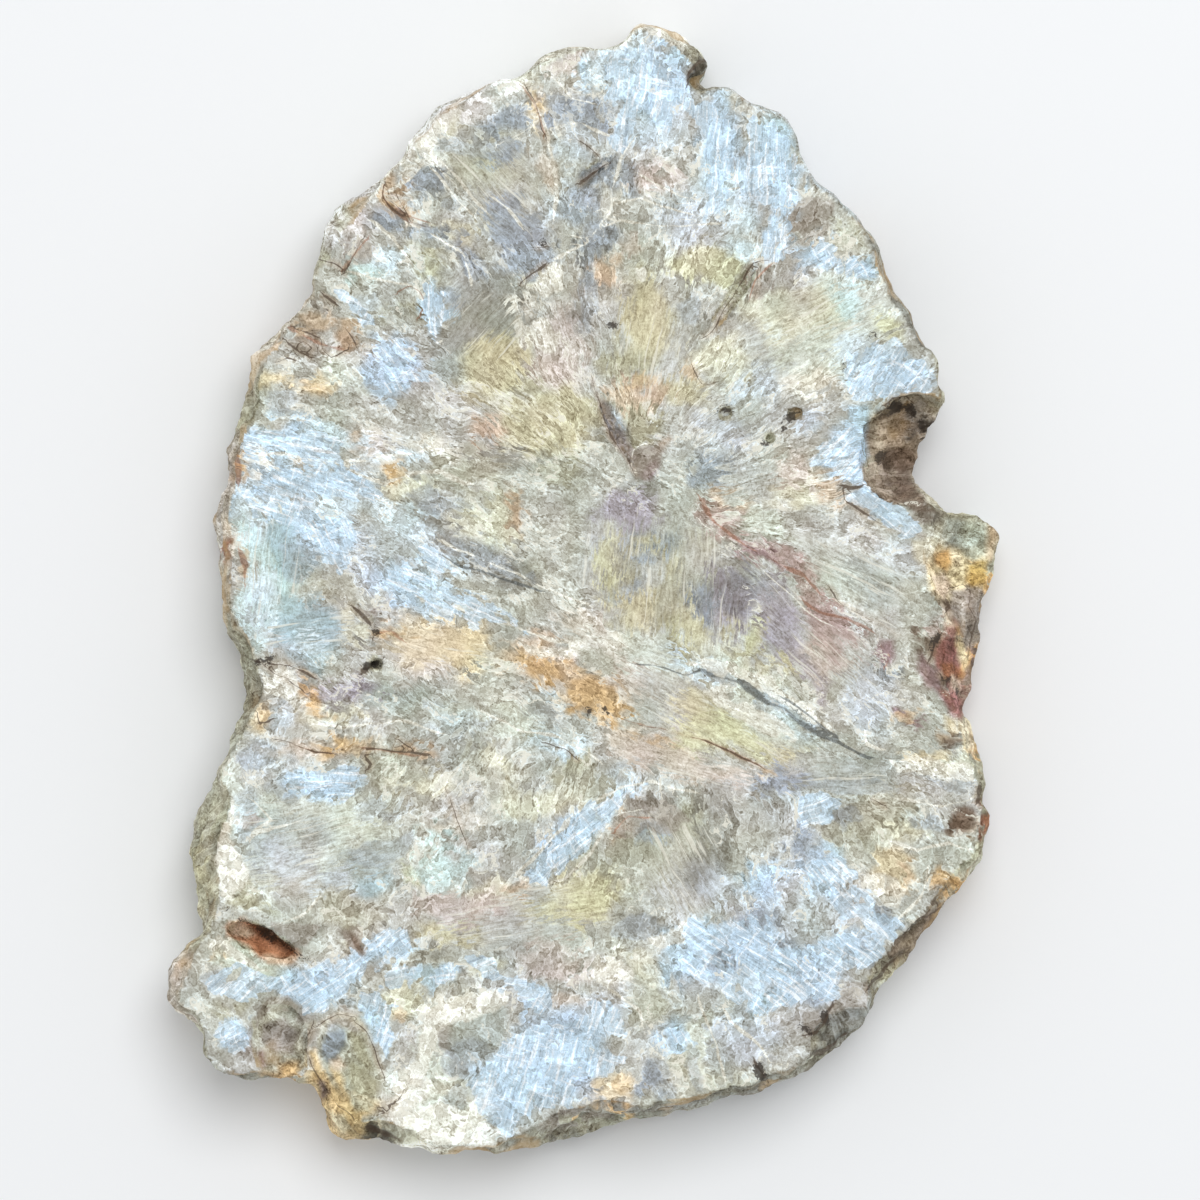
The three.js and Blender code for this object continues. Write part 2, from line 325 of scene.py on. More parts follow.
def line(points, spots=barely_shaken):
    """Distance from a line, and the same with a sign for the side."""
    distance = np.full(len(spots), float(REACH))
    signed = distance.copy()
    close = near(spots, points)
    for start, end in zip(points[:-1], points[1:]):
        reach, side = to_segment(spots[close], start, end)
        nearer = reach < distance[close]
        distance[close[nearer]] = reach[nearer]
        signed[close[nearer]] = (reach * side)[nearer]
    return distance, signed


print("picture spans", pixels.min(0).round(), "to", pixels.max(0).round())

# %% [markdown]
# ## Cracks
# Thin dark cracks cross the face, some with rust along them. The wide ones are dents in the
# mesh. All of them are also kept as a distance, which the material turns into a fine line,
# because a line can be finer than the mesh.

# %% Draw the cracks
# Width in pixels, then the line
CRACKS = {
    "lobe_notch": (6, "708,59 698,65 690,74 690,84"),
    "crown_pocket": (4, "580,183 594,173 608,164"),
    "crown_thread": (2, "578,140 590,150 600,158"),
    "rust_vein": (1.5, "526,85 535,105 538,128 545,138"),
    "rim_rust_left": (4, "384,184 383,197 392,208 404,216"),
    "rim_rust_right": (3, "397,194 405,206 413,223"),
    "rim_rust_tail": (2, "413,223 428,228"),
    "left_fold": (4, "344,272 352,256 363,238"),
    "left_fold_low": (2, "322,260 334,262 344,270"),
    "left_nick": (4, "325,295 335,302"),
    "left_gash": (5, "296,327 310,332 323,338"),
    "left_gash_low": (4, "286,343 298,353 310,358"),
    "left_gash_end": (3, "322,336 323,350 331,358 346,350"),
    "left_gash_top": (3, "345,328 356,345"),
    "left_step": (3, "275,362 286,360 296,364"),
    "leaf_groove": (2.5, "592,380 600,402 604,418 612,436 622,454 632,468 638,478"),
    "trough": (2.5, "701,338 718,322 731,300 743,280 753,262 770,258"),
    "trough_low": (3, "752,300 757,285 758,270"),
    "shoulder_thread": (2, "690,360 697,375 703,386 715,385"),
    "upper_thread": (2, "548,246 538,247"),
    "slate_thread": (3, "520,281 535,270 548,262"),
    "tongue_top": (5, "842,484 852,486 862,485"),
    "tongue_low": (3, "843,488 846,499 862,509 880,523 896,534 926,536"),
    "mint_edge": (2, "828,588 836,600 850,610 866,620 882,626 898,636"),
    "red_thread": (2.5, "632,725 655,728 680,735 702,741 722,749 746,759 770,768"),
    "left_split": (2.5, "252,658 264,660 276,662 286,664 296,670 312,676"),
    "left_split_low": (3, "262,662 276,672 290,680 304,691"),
    "grey_hook": (5, "352,603 364,611 371,626 374,637"),
    "dark_slot": (7, "364,672 372,667 381,661"),
    "left_long": (3, "272,739 290,742 306,748 330,752"),
    "left_long_end": (3.5, "366,748 384,749 398,753 412,752 427,756"),
    "left_long_spur": (2, "401,740 411,748"),
    "amber_nick": (3, "257,715 259,724 269,722"),
    "bar_nick": (4, "366,757 370,764 367,770"),
    # The dark line of this crack is painted shade on the slot's upper wall
    "slot_edge": (6, "242,916 258,928 280,943 298,952"),
    "lobe_edge": (4, "312,1026 308,1042 312,1064 326,1090"),
    "lobe_crease": (3, "383,1106 396,1100 410,1084"),
    "lobe_foot": (8, "370,1128 386,1133 400,1139"),
    "corner_gap": (7, "834,1003 828,1016 820,1031 806,1034"),
    "corner_gap_low": (5, "848,1034 836,1045 816,1055"),
    "bottom_nick": (6, "754,1063 764,1076"),
    "right_rim": (4, "904,936 920,918 946,904"),
    "right_rim_low": (4, "867,990 873,978 890,962 913,950"),
    "right_nick": (4, "978,788 976,806"),
    "peach_thread": (2, "872,800 884,806"),
    "low_thread": (1.2, "446,790 456,820 470,850"),
    "centre_thread": (2, "545,742 566,748 578,760"),
    "shoulder_top": (2.5, "928,660 933,646 940,634 948,624 956,628 957,638"),
    "shoulder_low": (2, "940,676 945,682 942,692 952,698 958,704 960,718"),
    "shoulder_edge": (3, "946,600 950,608 944,614"),
    "shoulder_net": (2, "950,588 962,584 970,594 966,606 974,620 970,640 966,660"),
    "split_bridge": (2, "283,664 285,675 298,690"),
    "hollow_rim": (3, "884,404 892,398 906,396 914,404"),
    "hollow_fold": (2, "878,462 888,452 894,449"),
    "lobe_right": (2, "352,1020 366,1030 376,1052 384,1078"),
    "lobe_fold": (2, "326,1090 340,1108 356,1120"),
    "left_knot_ring": (2, "298,346 306,342 314,348 308,354 299,352"),
    "lobe_top": (2, "310,1042 314,1031 324,1021 340,1014 354,1018"),
    "arch_foot": (2, "384,1112 396,1100 404,1088 414,1078"),
}

LINE_END = 20  # half widths beyond which the side of a line isn't followed
CRACK_SLIMNESS = 0.6  # share of its width that a crack has as a dark line
DENT_WIDTH = 4  # cracks at least this wide are dents in the mesh
DENT_FADE = 5  # pixels over which a dent runs out
DENT_FULL = 1.2  # depth on its line before it is cut off at 1, so that its floor is flat


def draw_lines(lines, slimness=1.0):
    """Distance from the nearest line in pixels, and its side in half widths of that line."""
    nearest = np.full(len(pixels), float(REACH))
    sides = np.full(len(pixels), float(LINE_END))
    for width, text in lines.values():
        distance, signed = line(picked(text))
        nearer = distance < nearest
        nearest[nearer] = distance[nearer]
        sides[nearer] = np.clip(signed[nearer] / (slimness * width / 2), -LINE_END, LINE_END)
    return nearest, sides


crack_distance, crack_side = draw_lines(CRACKS, CRACK_SLIMNESS)
wide_cracks = {name: crack for name, crack in CRACKS.items() if crack[0] >= DENT_WIDTH}
dent = np.clip(DENT_FULL - draw_lines(wide_cracks)[0] / DENT_FADE, 0, 1)
print("cracks:", len(CRACKS), "of which dents:", len(wide_cracks))

# %% [markdown]
# ## Relief
# The rind is lumpy, ribbed along the grain, which runs through the thickness, and pitted.
# It is worn smoother along the two upper rims. Displace modifiers push the points out along
# their normals by noise textures. A vertex group keeps that off the sawn faces. Cracks are
# pressed into the face in the same way. Sculpting by hand would give such forms too, but the
# textures give the same ones on every run.

# %% Dent the rind and the cracks
RIND_RELIEF = (
    # texture, its size and the depth of its dents in metres, its stretch along the grain
    ("CLOUDS", 0.006, 0.0016, 1),
    ("CLOUDS", 0.0024, 0.0012, 5),
    ("VORONOI", 0.0034, 0.0011, 1.6),
    ("CLOUDS", 0.0011, 0.0005, 1),
)
CRACK_DEPTH = 0.0011
SAWN_MARGIN = 0.0015  # height over which the relief fades towards the back face
RIM_WEAR = 0.7  # share of the relief that is worn away along the upper rims
FAR_WEAR = 0.3  # how much of that wear there is everywhere else
WEIGHT_LEVELS = 16  # steps in which the weights of the points are kept
MILLIMETRES = 1000  # in a metre
# Where the rind is worn nearly smooth
SMOOTH_RIMS = {
    "top_left": (1, "326,262 332,236 350,206 390,165 430,118 480,88 530,66 575,50 610,45 640,28"),
    "top_right": (1, "706,94 745,100 776,120 800,165 840,200 872,246 900,300 924,345"),
}


def group(name, weights):
    """A vertex group holding one weight for each point."""
    made = stone.vertex_groups.new(name=name)
    for level in range(1, WEIGHT_LEVELS + 1):
        members = np.flatnonzero(np.round(weights * WEIGHT_LEVELS) == level)
        made.add(members.tolist(), level / WEIGHT_LEVELS, "REPLACE")
    return made


def press(name, weights, texture, depth, direction, stretch=1):
    """Moves the stone's points by a texture, or evenly where there is none."""
    grain_axis = bpy.data.objects.new(name + "_axis", None)
    bpy.context.scene.collection.objects.link(grain_axis)
    grain_axis.scale = (1, 1, stretch)
    bpy.context.view_layer.update()
    dents = stone.modifiers.new(name, "DISPLACE")
    dents.texture = texture
    dents.texture_coords = "OBJECT"
    dents.texture_coords_object = grain_axis
    dents.direction = direction
    dents.strength = depth
    dents.mid_level = 0.5 if texture else 0
    dents.vertex_group = group(name, weights).name
    bpy.ops.object.modifier_apply(modifier=dents.name)
    bpy.data.objects.remove(grain_axis)


smooth_rim = np.clip(1 + FAR_WEAR - draw_lines(SMOOTH_RIMS)[0] / REACH, 0, 1)
rind_weight = is_rind * np.clip(heights / SAWN_MARGIN, 0, 1) * (1 - RIM_WEAR * smooth_rim)
for number, (kind, size, depth, stretch) in enumerate(RIND_RELIEF):
    texture = bpy.data.textures.new(f"rind_{number}", kind)
    texture.noise_scale = size
    press(f"rind_{number}", rind_weight, texture, depth, "NORMAL", stretch)
press("cracks", dent * (heights > FACE_HEIGHT / 2), None, -CRACK_DEPTH, "Z")
points = read_points()
relief = ((points - base_points) * base_normals).sum(1)
print("deepest dent:", round(MILLIMETRES * relief.min(), 2), "mm")

# %% [markdown]
# ## The colours of the face
# Minerals stained the stone in many clouds. They are painted like with an airbrush: each
# wash is an oval of one colour, laid over what is there already. It is done three times with
# other shakes of the pixels. The material picks one of the three coats for each tiny flake
# of stone, so that the colours meet in crisp broken borders. One coat alone would look like
# blurred paint.

# %% Palette
# Colours as on a screen, 0 to 255
PALETTE = {
    "base": (192, 193, 184),
    "sky": (192, 217, 234),
    "ice": (214, 230, 236),
    "mist": (196, 204, 206),
    "steel": (156, 165, 172),
    "slate": (140, 145, 147),
    "grey_green": (176, 182, 174),
    "smoke": (148, 147, 137),
    "teal": (164, 187, 192),
    "mint": (204, 226, 223),
    "leaf": (210, 216, 203),
    "khaki": (186, 185, 166),
    "straw": (220, 218, 194),
    "yellow": (201, 195, 162),
    "lemon": (209, 208, 172),
    "olive": (177, 173, 146),
    "peach": (228, 213, 178),
    "apricot": (208, 187, 162),
    "ochre": (207, 174, 124),
    "orange": (205, 160, 96),
    "tan": (188, 164, 134),
    "rose": (203, 192, 182),
    "rosewood": (176, 154, 145),
    "mauve": (170, 163, 167),
    "plum": (146, 122, 122),
    "sand": (212, 203, 188),
    "cream": (237, 235, 221),
    "brown": (154, 145, 133),
    "umber": (112, 94, 78),
    "rust": (150, 98, 68),
    "red": (150, 100, 92),
    "dark": (62, 54, 47),
    "moss": (176, 172, 150),
    "stone": (146, 145, 134),
    # ember is rust painted lighter, as painted light in the shaded slot
    "ember": (202, 136, 98),
    "dusk": (136, 128, 130),
    "bark": (148, 138, 125),
    "graphite": (104, 108, 107),
    "honey": (226, 198, 148),
    "cornmeal": (222, 206, 164),
    "yellow_stain": (204, 172, 104),
    "hazel": (164, 146, 126),
    # chalk makes the upper-left rim pale, partly its own colour and partly a painted highlight
    "chalk": (240, 239, 232),
    "crack": (84, 69, 56),
}

print("colours:", len(PALETTE))

# %% Washes of the face
# Column, row, half length, half width, and turn in degrees where it is turned
FACE_WASHES = (
    ("leaf", "320,830,100,46 850,310,60,46 820,360,60,26 350,372,34,22 500,720,44,20 230,770,16,30"
     " 250,880,30,30"),
    ("khaki", "480,165,44,24 440,250,44,12,-10 470,470,40,24 340,590,34,20 400,770,34,20"
     " 490,772,34,26 690,835,26,44 350,908,44,22 720,1060,60,26 640,1000,16,34 870,812,66,30"
     " 640,862,34,40 225,1010,16,9 850,240,16,20"),
    ("straw", "790,310,66,28 450,125,16,13 460,232,22,8 545,270,26,9,35 720,360,34,20 500,520,18,28"
     " 720,660,54,15,-20 430,786,30,12 500,760,10,16 540,800,56,16 490,890,34,16 480,970,22,12"
     " 405,1000,18,26 660,965,26,20 800,490,34,22 940,768,34,8 335,715,44,10 418,166,14,10"),
    ("mist", "572,140,18,28 760,380,24,28 720,430,24,22 700,215,40,40 890,560,28,34,-50 870,700,22,44"
     " 460,720,34,16 720,882,26,26 740,1040,46,32 585,1005,22,14 270,755,28,18 365,305,22,14"
     " 560,205,26,30 250,820,18,30 380,815,26,14 620,782,24,20 700,960,50,44 800,900,60,50"
     " 385,560,40,44"),
    ("grey_green", "800,790,56,22 790,745,44,18 370,875,26,20 930,825,26,12 400,700,34,20"
     " 450,370,34,20 870,770,60,16"),
    ("steel", "560,110,24,15 500,125,24,17 500,156,18,8 425,176,24,18 592,112,14,20 620,178,12,18"
     " 742,165,12,14 395,215,24,9,-35 500,210,22,17 520,236,32,18 535,258,32,14,10 580,205,22,27"
     " 710,470,18,22 650,825,17,17 725,735,8,12 800,840,15,15 760,920,22,12 890,925,19,10"
     " 655,1080,10,22 780,780,22,14 430,236,26,8,-14"),
    ("slate", "605,236,16,14 590,258,12,32 572,106,14,8 470,262,9,22,25"),
    ("smoke", "500,295,42,28 470,330,54,26 530,460,54,16,-20 425,510,18,20,-40 640,510,22,30"
     " 480,560,64,18,-25 520,575,32,8,-30 735,580,24,12,-30 540,715,18,10 720,830,22,42 700,870,14,24"
     " 830,810,22,10 640,920,26,12 430,955,22,9 465,1055,26,28 715,320,30,8,50 595,171,24,6,38"
     " 610,430,34,12,-60 372,640,12,10"),
    ("steel", "625,578,18,22 660,612,10,18 700,590,18,30 640,545,40,14 685,560,14,20 860,575,12,12"),
    ("mauve", "625,512,34,16 790,640,18,52,42 775,600,36,14,-45 350,690,34,14 812,672,26,16,-45"
     " 735,600,28,34"),
    ("slate", "712,580,14,18 742,592,20,20 700,610,10,18"),
    ("mauve", "786,650,6,40,45 806,650,5,44,45"),
    ("rose", "575,60,36,14,10 660,180,32,16 630,246,15,15 302,472,9,7 460,905,54,16 560,350,34,54"
     " 790,470,22,20 830,660,24,18 250,826,14,8 560,960,44,18 650,400,26,16"),
    ("sand", "545,170,12,22 360,440,26,16 640,740,34,14 320,750,64,8 430,648,60,30 560,1000,20,10"),
    ("yellow", "648,315,30,44 490,370,34,34 500,350,22,22 560,412,62,22 545,430,46,25 610,565,8,36"
     " 645,540,12,10 664,570,9,16 640,612,26,20,-30 682,622,16,22 628,600,30,7 730,625,6,20"
     " 758,636,8,28 775,668,8,14,-50 585,892,34,30 560,912,44,14 450,935,32,10 700,712,34,24,-25"
     " 780,752,24,8 680,395,32,14 640,345,24,30"),
    ("lemon", "728,268,15,22 740,735,50,20,-25 700,735,22,22 415,875,10,19 700,262,30,18"
     " 590,900,26,16 890,325,18,12"),
    ("olive", "435,265,17,14 410,310,24,14 530,386,12,10 625,366,22,20 640,420,20,26 672,628,10,24"
     " 570,766,19,22 350,941,15,13 690,640,20,16"),
    ("apricot", "605,276,13,17 490,425,22,14 725,500,16,12 825,490,13,17 640,396,32,12 517,887,15,8"
     " 540,660,40,24"),
    ("sand", "620,690,26,34,-40 660,755,60,14,-14 610,650,34,14,-25 580,620,30,14"),
    ("rosewood", "716,518,18,16 742,546,46,12,-30 790,566,30,14,-35 830,632,34,18,-60"
     " 845,622,30,8,-35 815,600,22,10,-40"),
    ("leaf", "660,648,40,12,-15 745,682,62,14,-32 640,660,30,8 760,720,40,16,-30 855,580,44,34,-40"
     " 760,520,34,16,-40 430,1050,14,34 340,860,44,22 240,960,32,20 690,1040,22,20"),
    ("mint", "265,572,20,44 250,622,18,38 440,870,28,20 440,830,22,10 360,266,16,10 850,300,24,16"
     " 470,1128,36,16"),
    ("teal", "285,545,20,42 280,615,14,28 310,634,30,40 865,265,17,14 370,876,16,12 760,1000,20,12"),
    ("sky", "655,85,44,40 588,76,12,15 672,50,18,12 720,140,20,64 770,150,22,44 790,190,17,32"
     " 770,236,13,17 812,256,28,12 885,375,44,25 390,370,27,31 432,306,9,28 290,440,64,20"
     " 330,482,44,20 270,472,40,20 320,532,36,28 850,450,27,36 880,500,28,11,-45 420,592,54,20,-25"
     " 320,780,42,15 565,842,56,14,38 765,882,22,25 820,872,20,26 730,950,60,30 800,972,44,32"
     " 850,945,32,20 370,960,54,16,25 310,986,42,20 430,976,22,8 375,1030,14,32 235,1036,15,15"
     " 555,1056,52,46 500,1090,36,36 540,1000,15,17 672,1036,14,21 680,960,14,30 240,500,10,20"),
    ("ice", "620,60,32,32 740,200,22,32 850,350,24,20 250,510,14,42 440,560,28,9,-25 285,715,13,16"
     " 610,790,28,16 385,256,22,12 440,600,30,10,-25"),
    ("cream", "522,300,16,12 590,655,30,10,-30 810,385,30,14 462,818,22,12 430,446,22,15"
     " 610,966,17,16 440,1110,56,32 455,1002,40,10,15 530,80,14,9,40 262,462,12,9 570,655,32,12"
     " 218,950,14,14 222,850,6,50 610,640,30,10,-20"),
    ("peach", "440,638,48,24 472,652,26,18 265,375,18,12 315,385,26,12 925,755,26,8 890,866,26,22"
     " 615,1086,22,19 258,716,12,16 533,102,7,28,8"),
    ("ochre", "542,670,22,18,-20 592,692,26,16,-20 612,716,20,13 395,472,13,11 314,694,9,18"
     " 336,745,22,7 240,461,9,14 210,955,12,10 945,880,17,12"),
    ("tan", "385,190,14,16 408,212,18,9,-40 310,320,26,18 345,336,15,14 386,632,12,8 420,752,28,7"
     " 945,736,13,10 215,826,12,15 615,826,8,22 905,871,8,17 515,510,7,24 970,820,14,16"),
    ("brown", "655,815,26,14,-10 352,944,12,12 966,818,14,16 350,252,11,9 310,336,13,8 325,300,8,11"
     " 755,285,15,14 805,222,19,19 650,800,28,9,10 280,1035,38,42 350,1030,22,28 376,612,10,15"
     " 620,826,10,12"),
    ("plum", "645,461,13,16 888,651,10,16 335,1042,11,15 760,560,30,5,-32 908,716,12,8"),
    ("smoke", "735,556,22,6,-35 652,803,26,9,10 410,312,18,12 640,470,12,14"),
    ("ice", "400,520,44,18,-30 330,440,44,13 300,646,32,10 335,500,34,12 862,440,12,26 662,132,36,18"
     " 790,722,28,9,-30 556,742,32,9 400,456,34,9 740,250,20,12 700,668,40,7,-15 770,700,40,6,-30"
     " 560,690,16,6"),
    ("umber", "928,640,7,18 948,742,10,8 964,818,9,10"),
    ("rosewood", "942,650,8,34,5"),
    ("red", "950,658,7,34,5"),
    # Chalk along the upper-left rim: partly its own pale colour, partly a painted highlight
    ("chalk", "480,98,56,9,24 415,140,34,8,50 345,210,26,9,50 482,116,18,10 530,88,12,10"
     " 440,120,30,8,40"),
    ("khaki", "585,790,30,18 785,305,26,16 690,560,30,30 560,470,20,14"),
    ("straw", "410,486,30,10 470,520,24,14,-30"),
    ("dusk", "366,690,26,8 742,596,16,22 716,580,10,14"),
    ("grey_green", "300,832,44,18 360,862,26,16 866,580,34,22,-40"),
    ("mist", "276,862,34,20 330,880,30,12"),
    ("leaf", "440,1112,40,18 400,1090,16,14"),
    ("olive", "620,560,18,26 668,600,18,18"),
    ("smoke", "580,316,16,20"),
    ("straw", "352,628,12,18 912,832,26,9"),
    ("ice", "262,600,12,34"),
    ("steel", "886,672,14,10 444,298,16,14"),
    ("ice", "485,1130,20,12 602,1022,18,16"),
    ("mint", "246,540,10,24"),
    # More chalk near the upper-left rim, partly a painted highlight
    ("chalk", "354,220,16,18"),
    ("olive", "240,900,20,12"),
    ("ice", "806,420,14,14"),
    ("steel", "762,938,30,18 802,982,26,18 720,970,18,16 860,950,16,12"),
    ("khaki", "596,662,24,16"),
    ("sand", "676,756,50,14,-15 720,776,30,9,-10"),
    ("lemon", "612,562,9,30 690,632,14,18 752,640,8,22 730,722,26,14,-26"),
    ("steel", "596,172,18,9,38"),
)

COATS = {"tone": 20.5, "tone_second": 29.5, "tone_third": 38.5}  # each with the seed of its shake
COAT_WANDER = ((50, 16.0), (24, 12.0), (11, 8.0))
WASH_STRENGTH = 0.85
WASH_BORDER = (1.25, 0.55)  # half widths from an oval's middle at which it starts and is full

coat_spots = {name: shake(seed, COAT_WANDER) for name, seed in COATS.items()}


def fade(values, start, full):
    """0 at start, 1 at full, smooth between."""
    share = np.clip((values - start) / (full - start), 0, 1)
    return share * share * (3 - 2 * share)


def lay(ground, washes, spots):
    """Lays ovals of colour over a ground colour, one after the other."""
    paint = np.tile(linear(*PALETTE[ground]), (len(spots), 1))
    for name, places in washes:
        for place in places.split():
            numbers = [float(number) for number in place.split(",")]
            cover = WASH_STRENGTH * fade(oval(*numbers, spots=spots), *WASH_BORDER)
            paint += cover[:, None] * (linear(*PALETTE[name]) - paint)
    return paint


face_coats = {name: lay("base", FACE_WASHES, spots) for name, spots in coat_spots.items()}
print("washes on the face:", sum(len(places.split()) for _, places in FACE_WASHES))

# %% [markdown]
# ## The colours of the rind
# The rind is khaki and grey, with iron stains: orange on the lobe at the lower left, red and
# yellow on the shoulder below the hollow. They are washes too, laid only on the rind. Seen
# from above, the wall lies under its rim, so its colours go on down from there.

# %% Rind washes
RIND_WASHES = (
    # The first two cream ovals make the upper rim pale, partly its own colour and partly a painted
    # highlight
    ("cream", "440,100,160,90,40 640,30,60,30 450,1146,44,10"),
    ("mist", "800,150,130,40,-45"),
    ("stone", "900,290,40,80,25 250,1075,60,16 600,1120,140,30,8 850,1020,34,40"),
    ("sand", "300,330,60,60,40 225,500,24,90 182,985,26,34"),
    ("moss", "200,860,34,90 600,1132,80,8"),
    ("yellow", "355,1105,18,14 890,970,22,10,40 930,905,26,9,45 196,870,10,40"),
    ("smoke", "760,1085,90,26,20"),
    ("umber", "915,930,50,28,45 970,820,22,20 976,640,10,60,5"),
    ("hazel", "900,450,50,66 890,500,30,20"),
    ("brown", "345,1045,30,26 280,1035,34,40 580,1122,50,8 915,420,16,14"),
    ("umber", "902,462,18,14,-30 904,490,8,16"),
    ("ochre", "285,1068,24,8,15 620,1104,14,8 560,1108,16,7 985,690,10,20"),
    ("honey", "335,1095,30,54,25 350,1118,26,16"),
    ("orange", "208,962,10,8 955,880,18,12,40 968,760,18,8"),
    ("rust", "226,546,4,14 985,825,12,12 962,800,12,10"),
    ("peach", "965,740,20,26 950,560,40,46"),
    ("tan", "240,470,10,16 948,735,10,9"),
    ("mist", "960,532,34,14"),
    ("orange", "943,562,12,9 978,578,14,17"),
    ("red", "948,655,24,52,8 935,690,14,12"),
    ("rose", "940,620,16,12"),
    ("umber", "978,640,7,60,5"),
    ("orange", "964,655,6,22"),
    # Painted shade: dark in the top of the hollow and in the notches at the lobe's foot and the top edge
    ("dark", "893,405,10,7,20 925,428,6,9 908,415,5,8 385,1134,20,10,-20 694,74,12,14"),
    # Chalk along the upper-left rim: partly its own pale colour, partly a painted highlight
    ("chalk", "470,80,60,20,28 400,140,40,16,48 350,190,30,16,40 334,226,13,30,-15"),
)

coats = {
    name: np.where(is_rind[:, None], lay("moss", RIND_WASHES, spots), face_coats[name])
    for name, spots in coat_spots.items()
}
print("washes on the rind:", sum(len(places.split()) for _, places in RIND_WASHES))

# %% [markdown]
# ## Landmarks
# Some places have a colour of their own with a clear shape: the finger-like lobe at the lower
# left, the broken corner beside it, the rusty slot and the stained shoulder. A few stamps are
# painted light and shade: the slot's rust is painted lighter against its shade, and painted
# shade lies below the hollow, in the shoulder's crevices and in the crown's pocket. All are
# stamped into all three coats, with outlines that are shaken only a little. As washes, such
# small shapes would be torn apart by the strong shake of the coats.

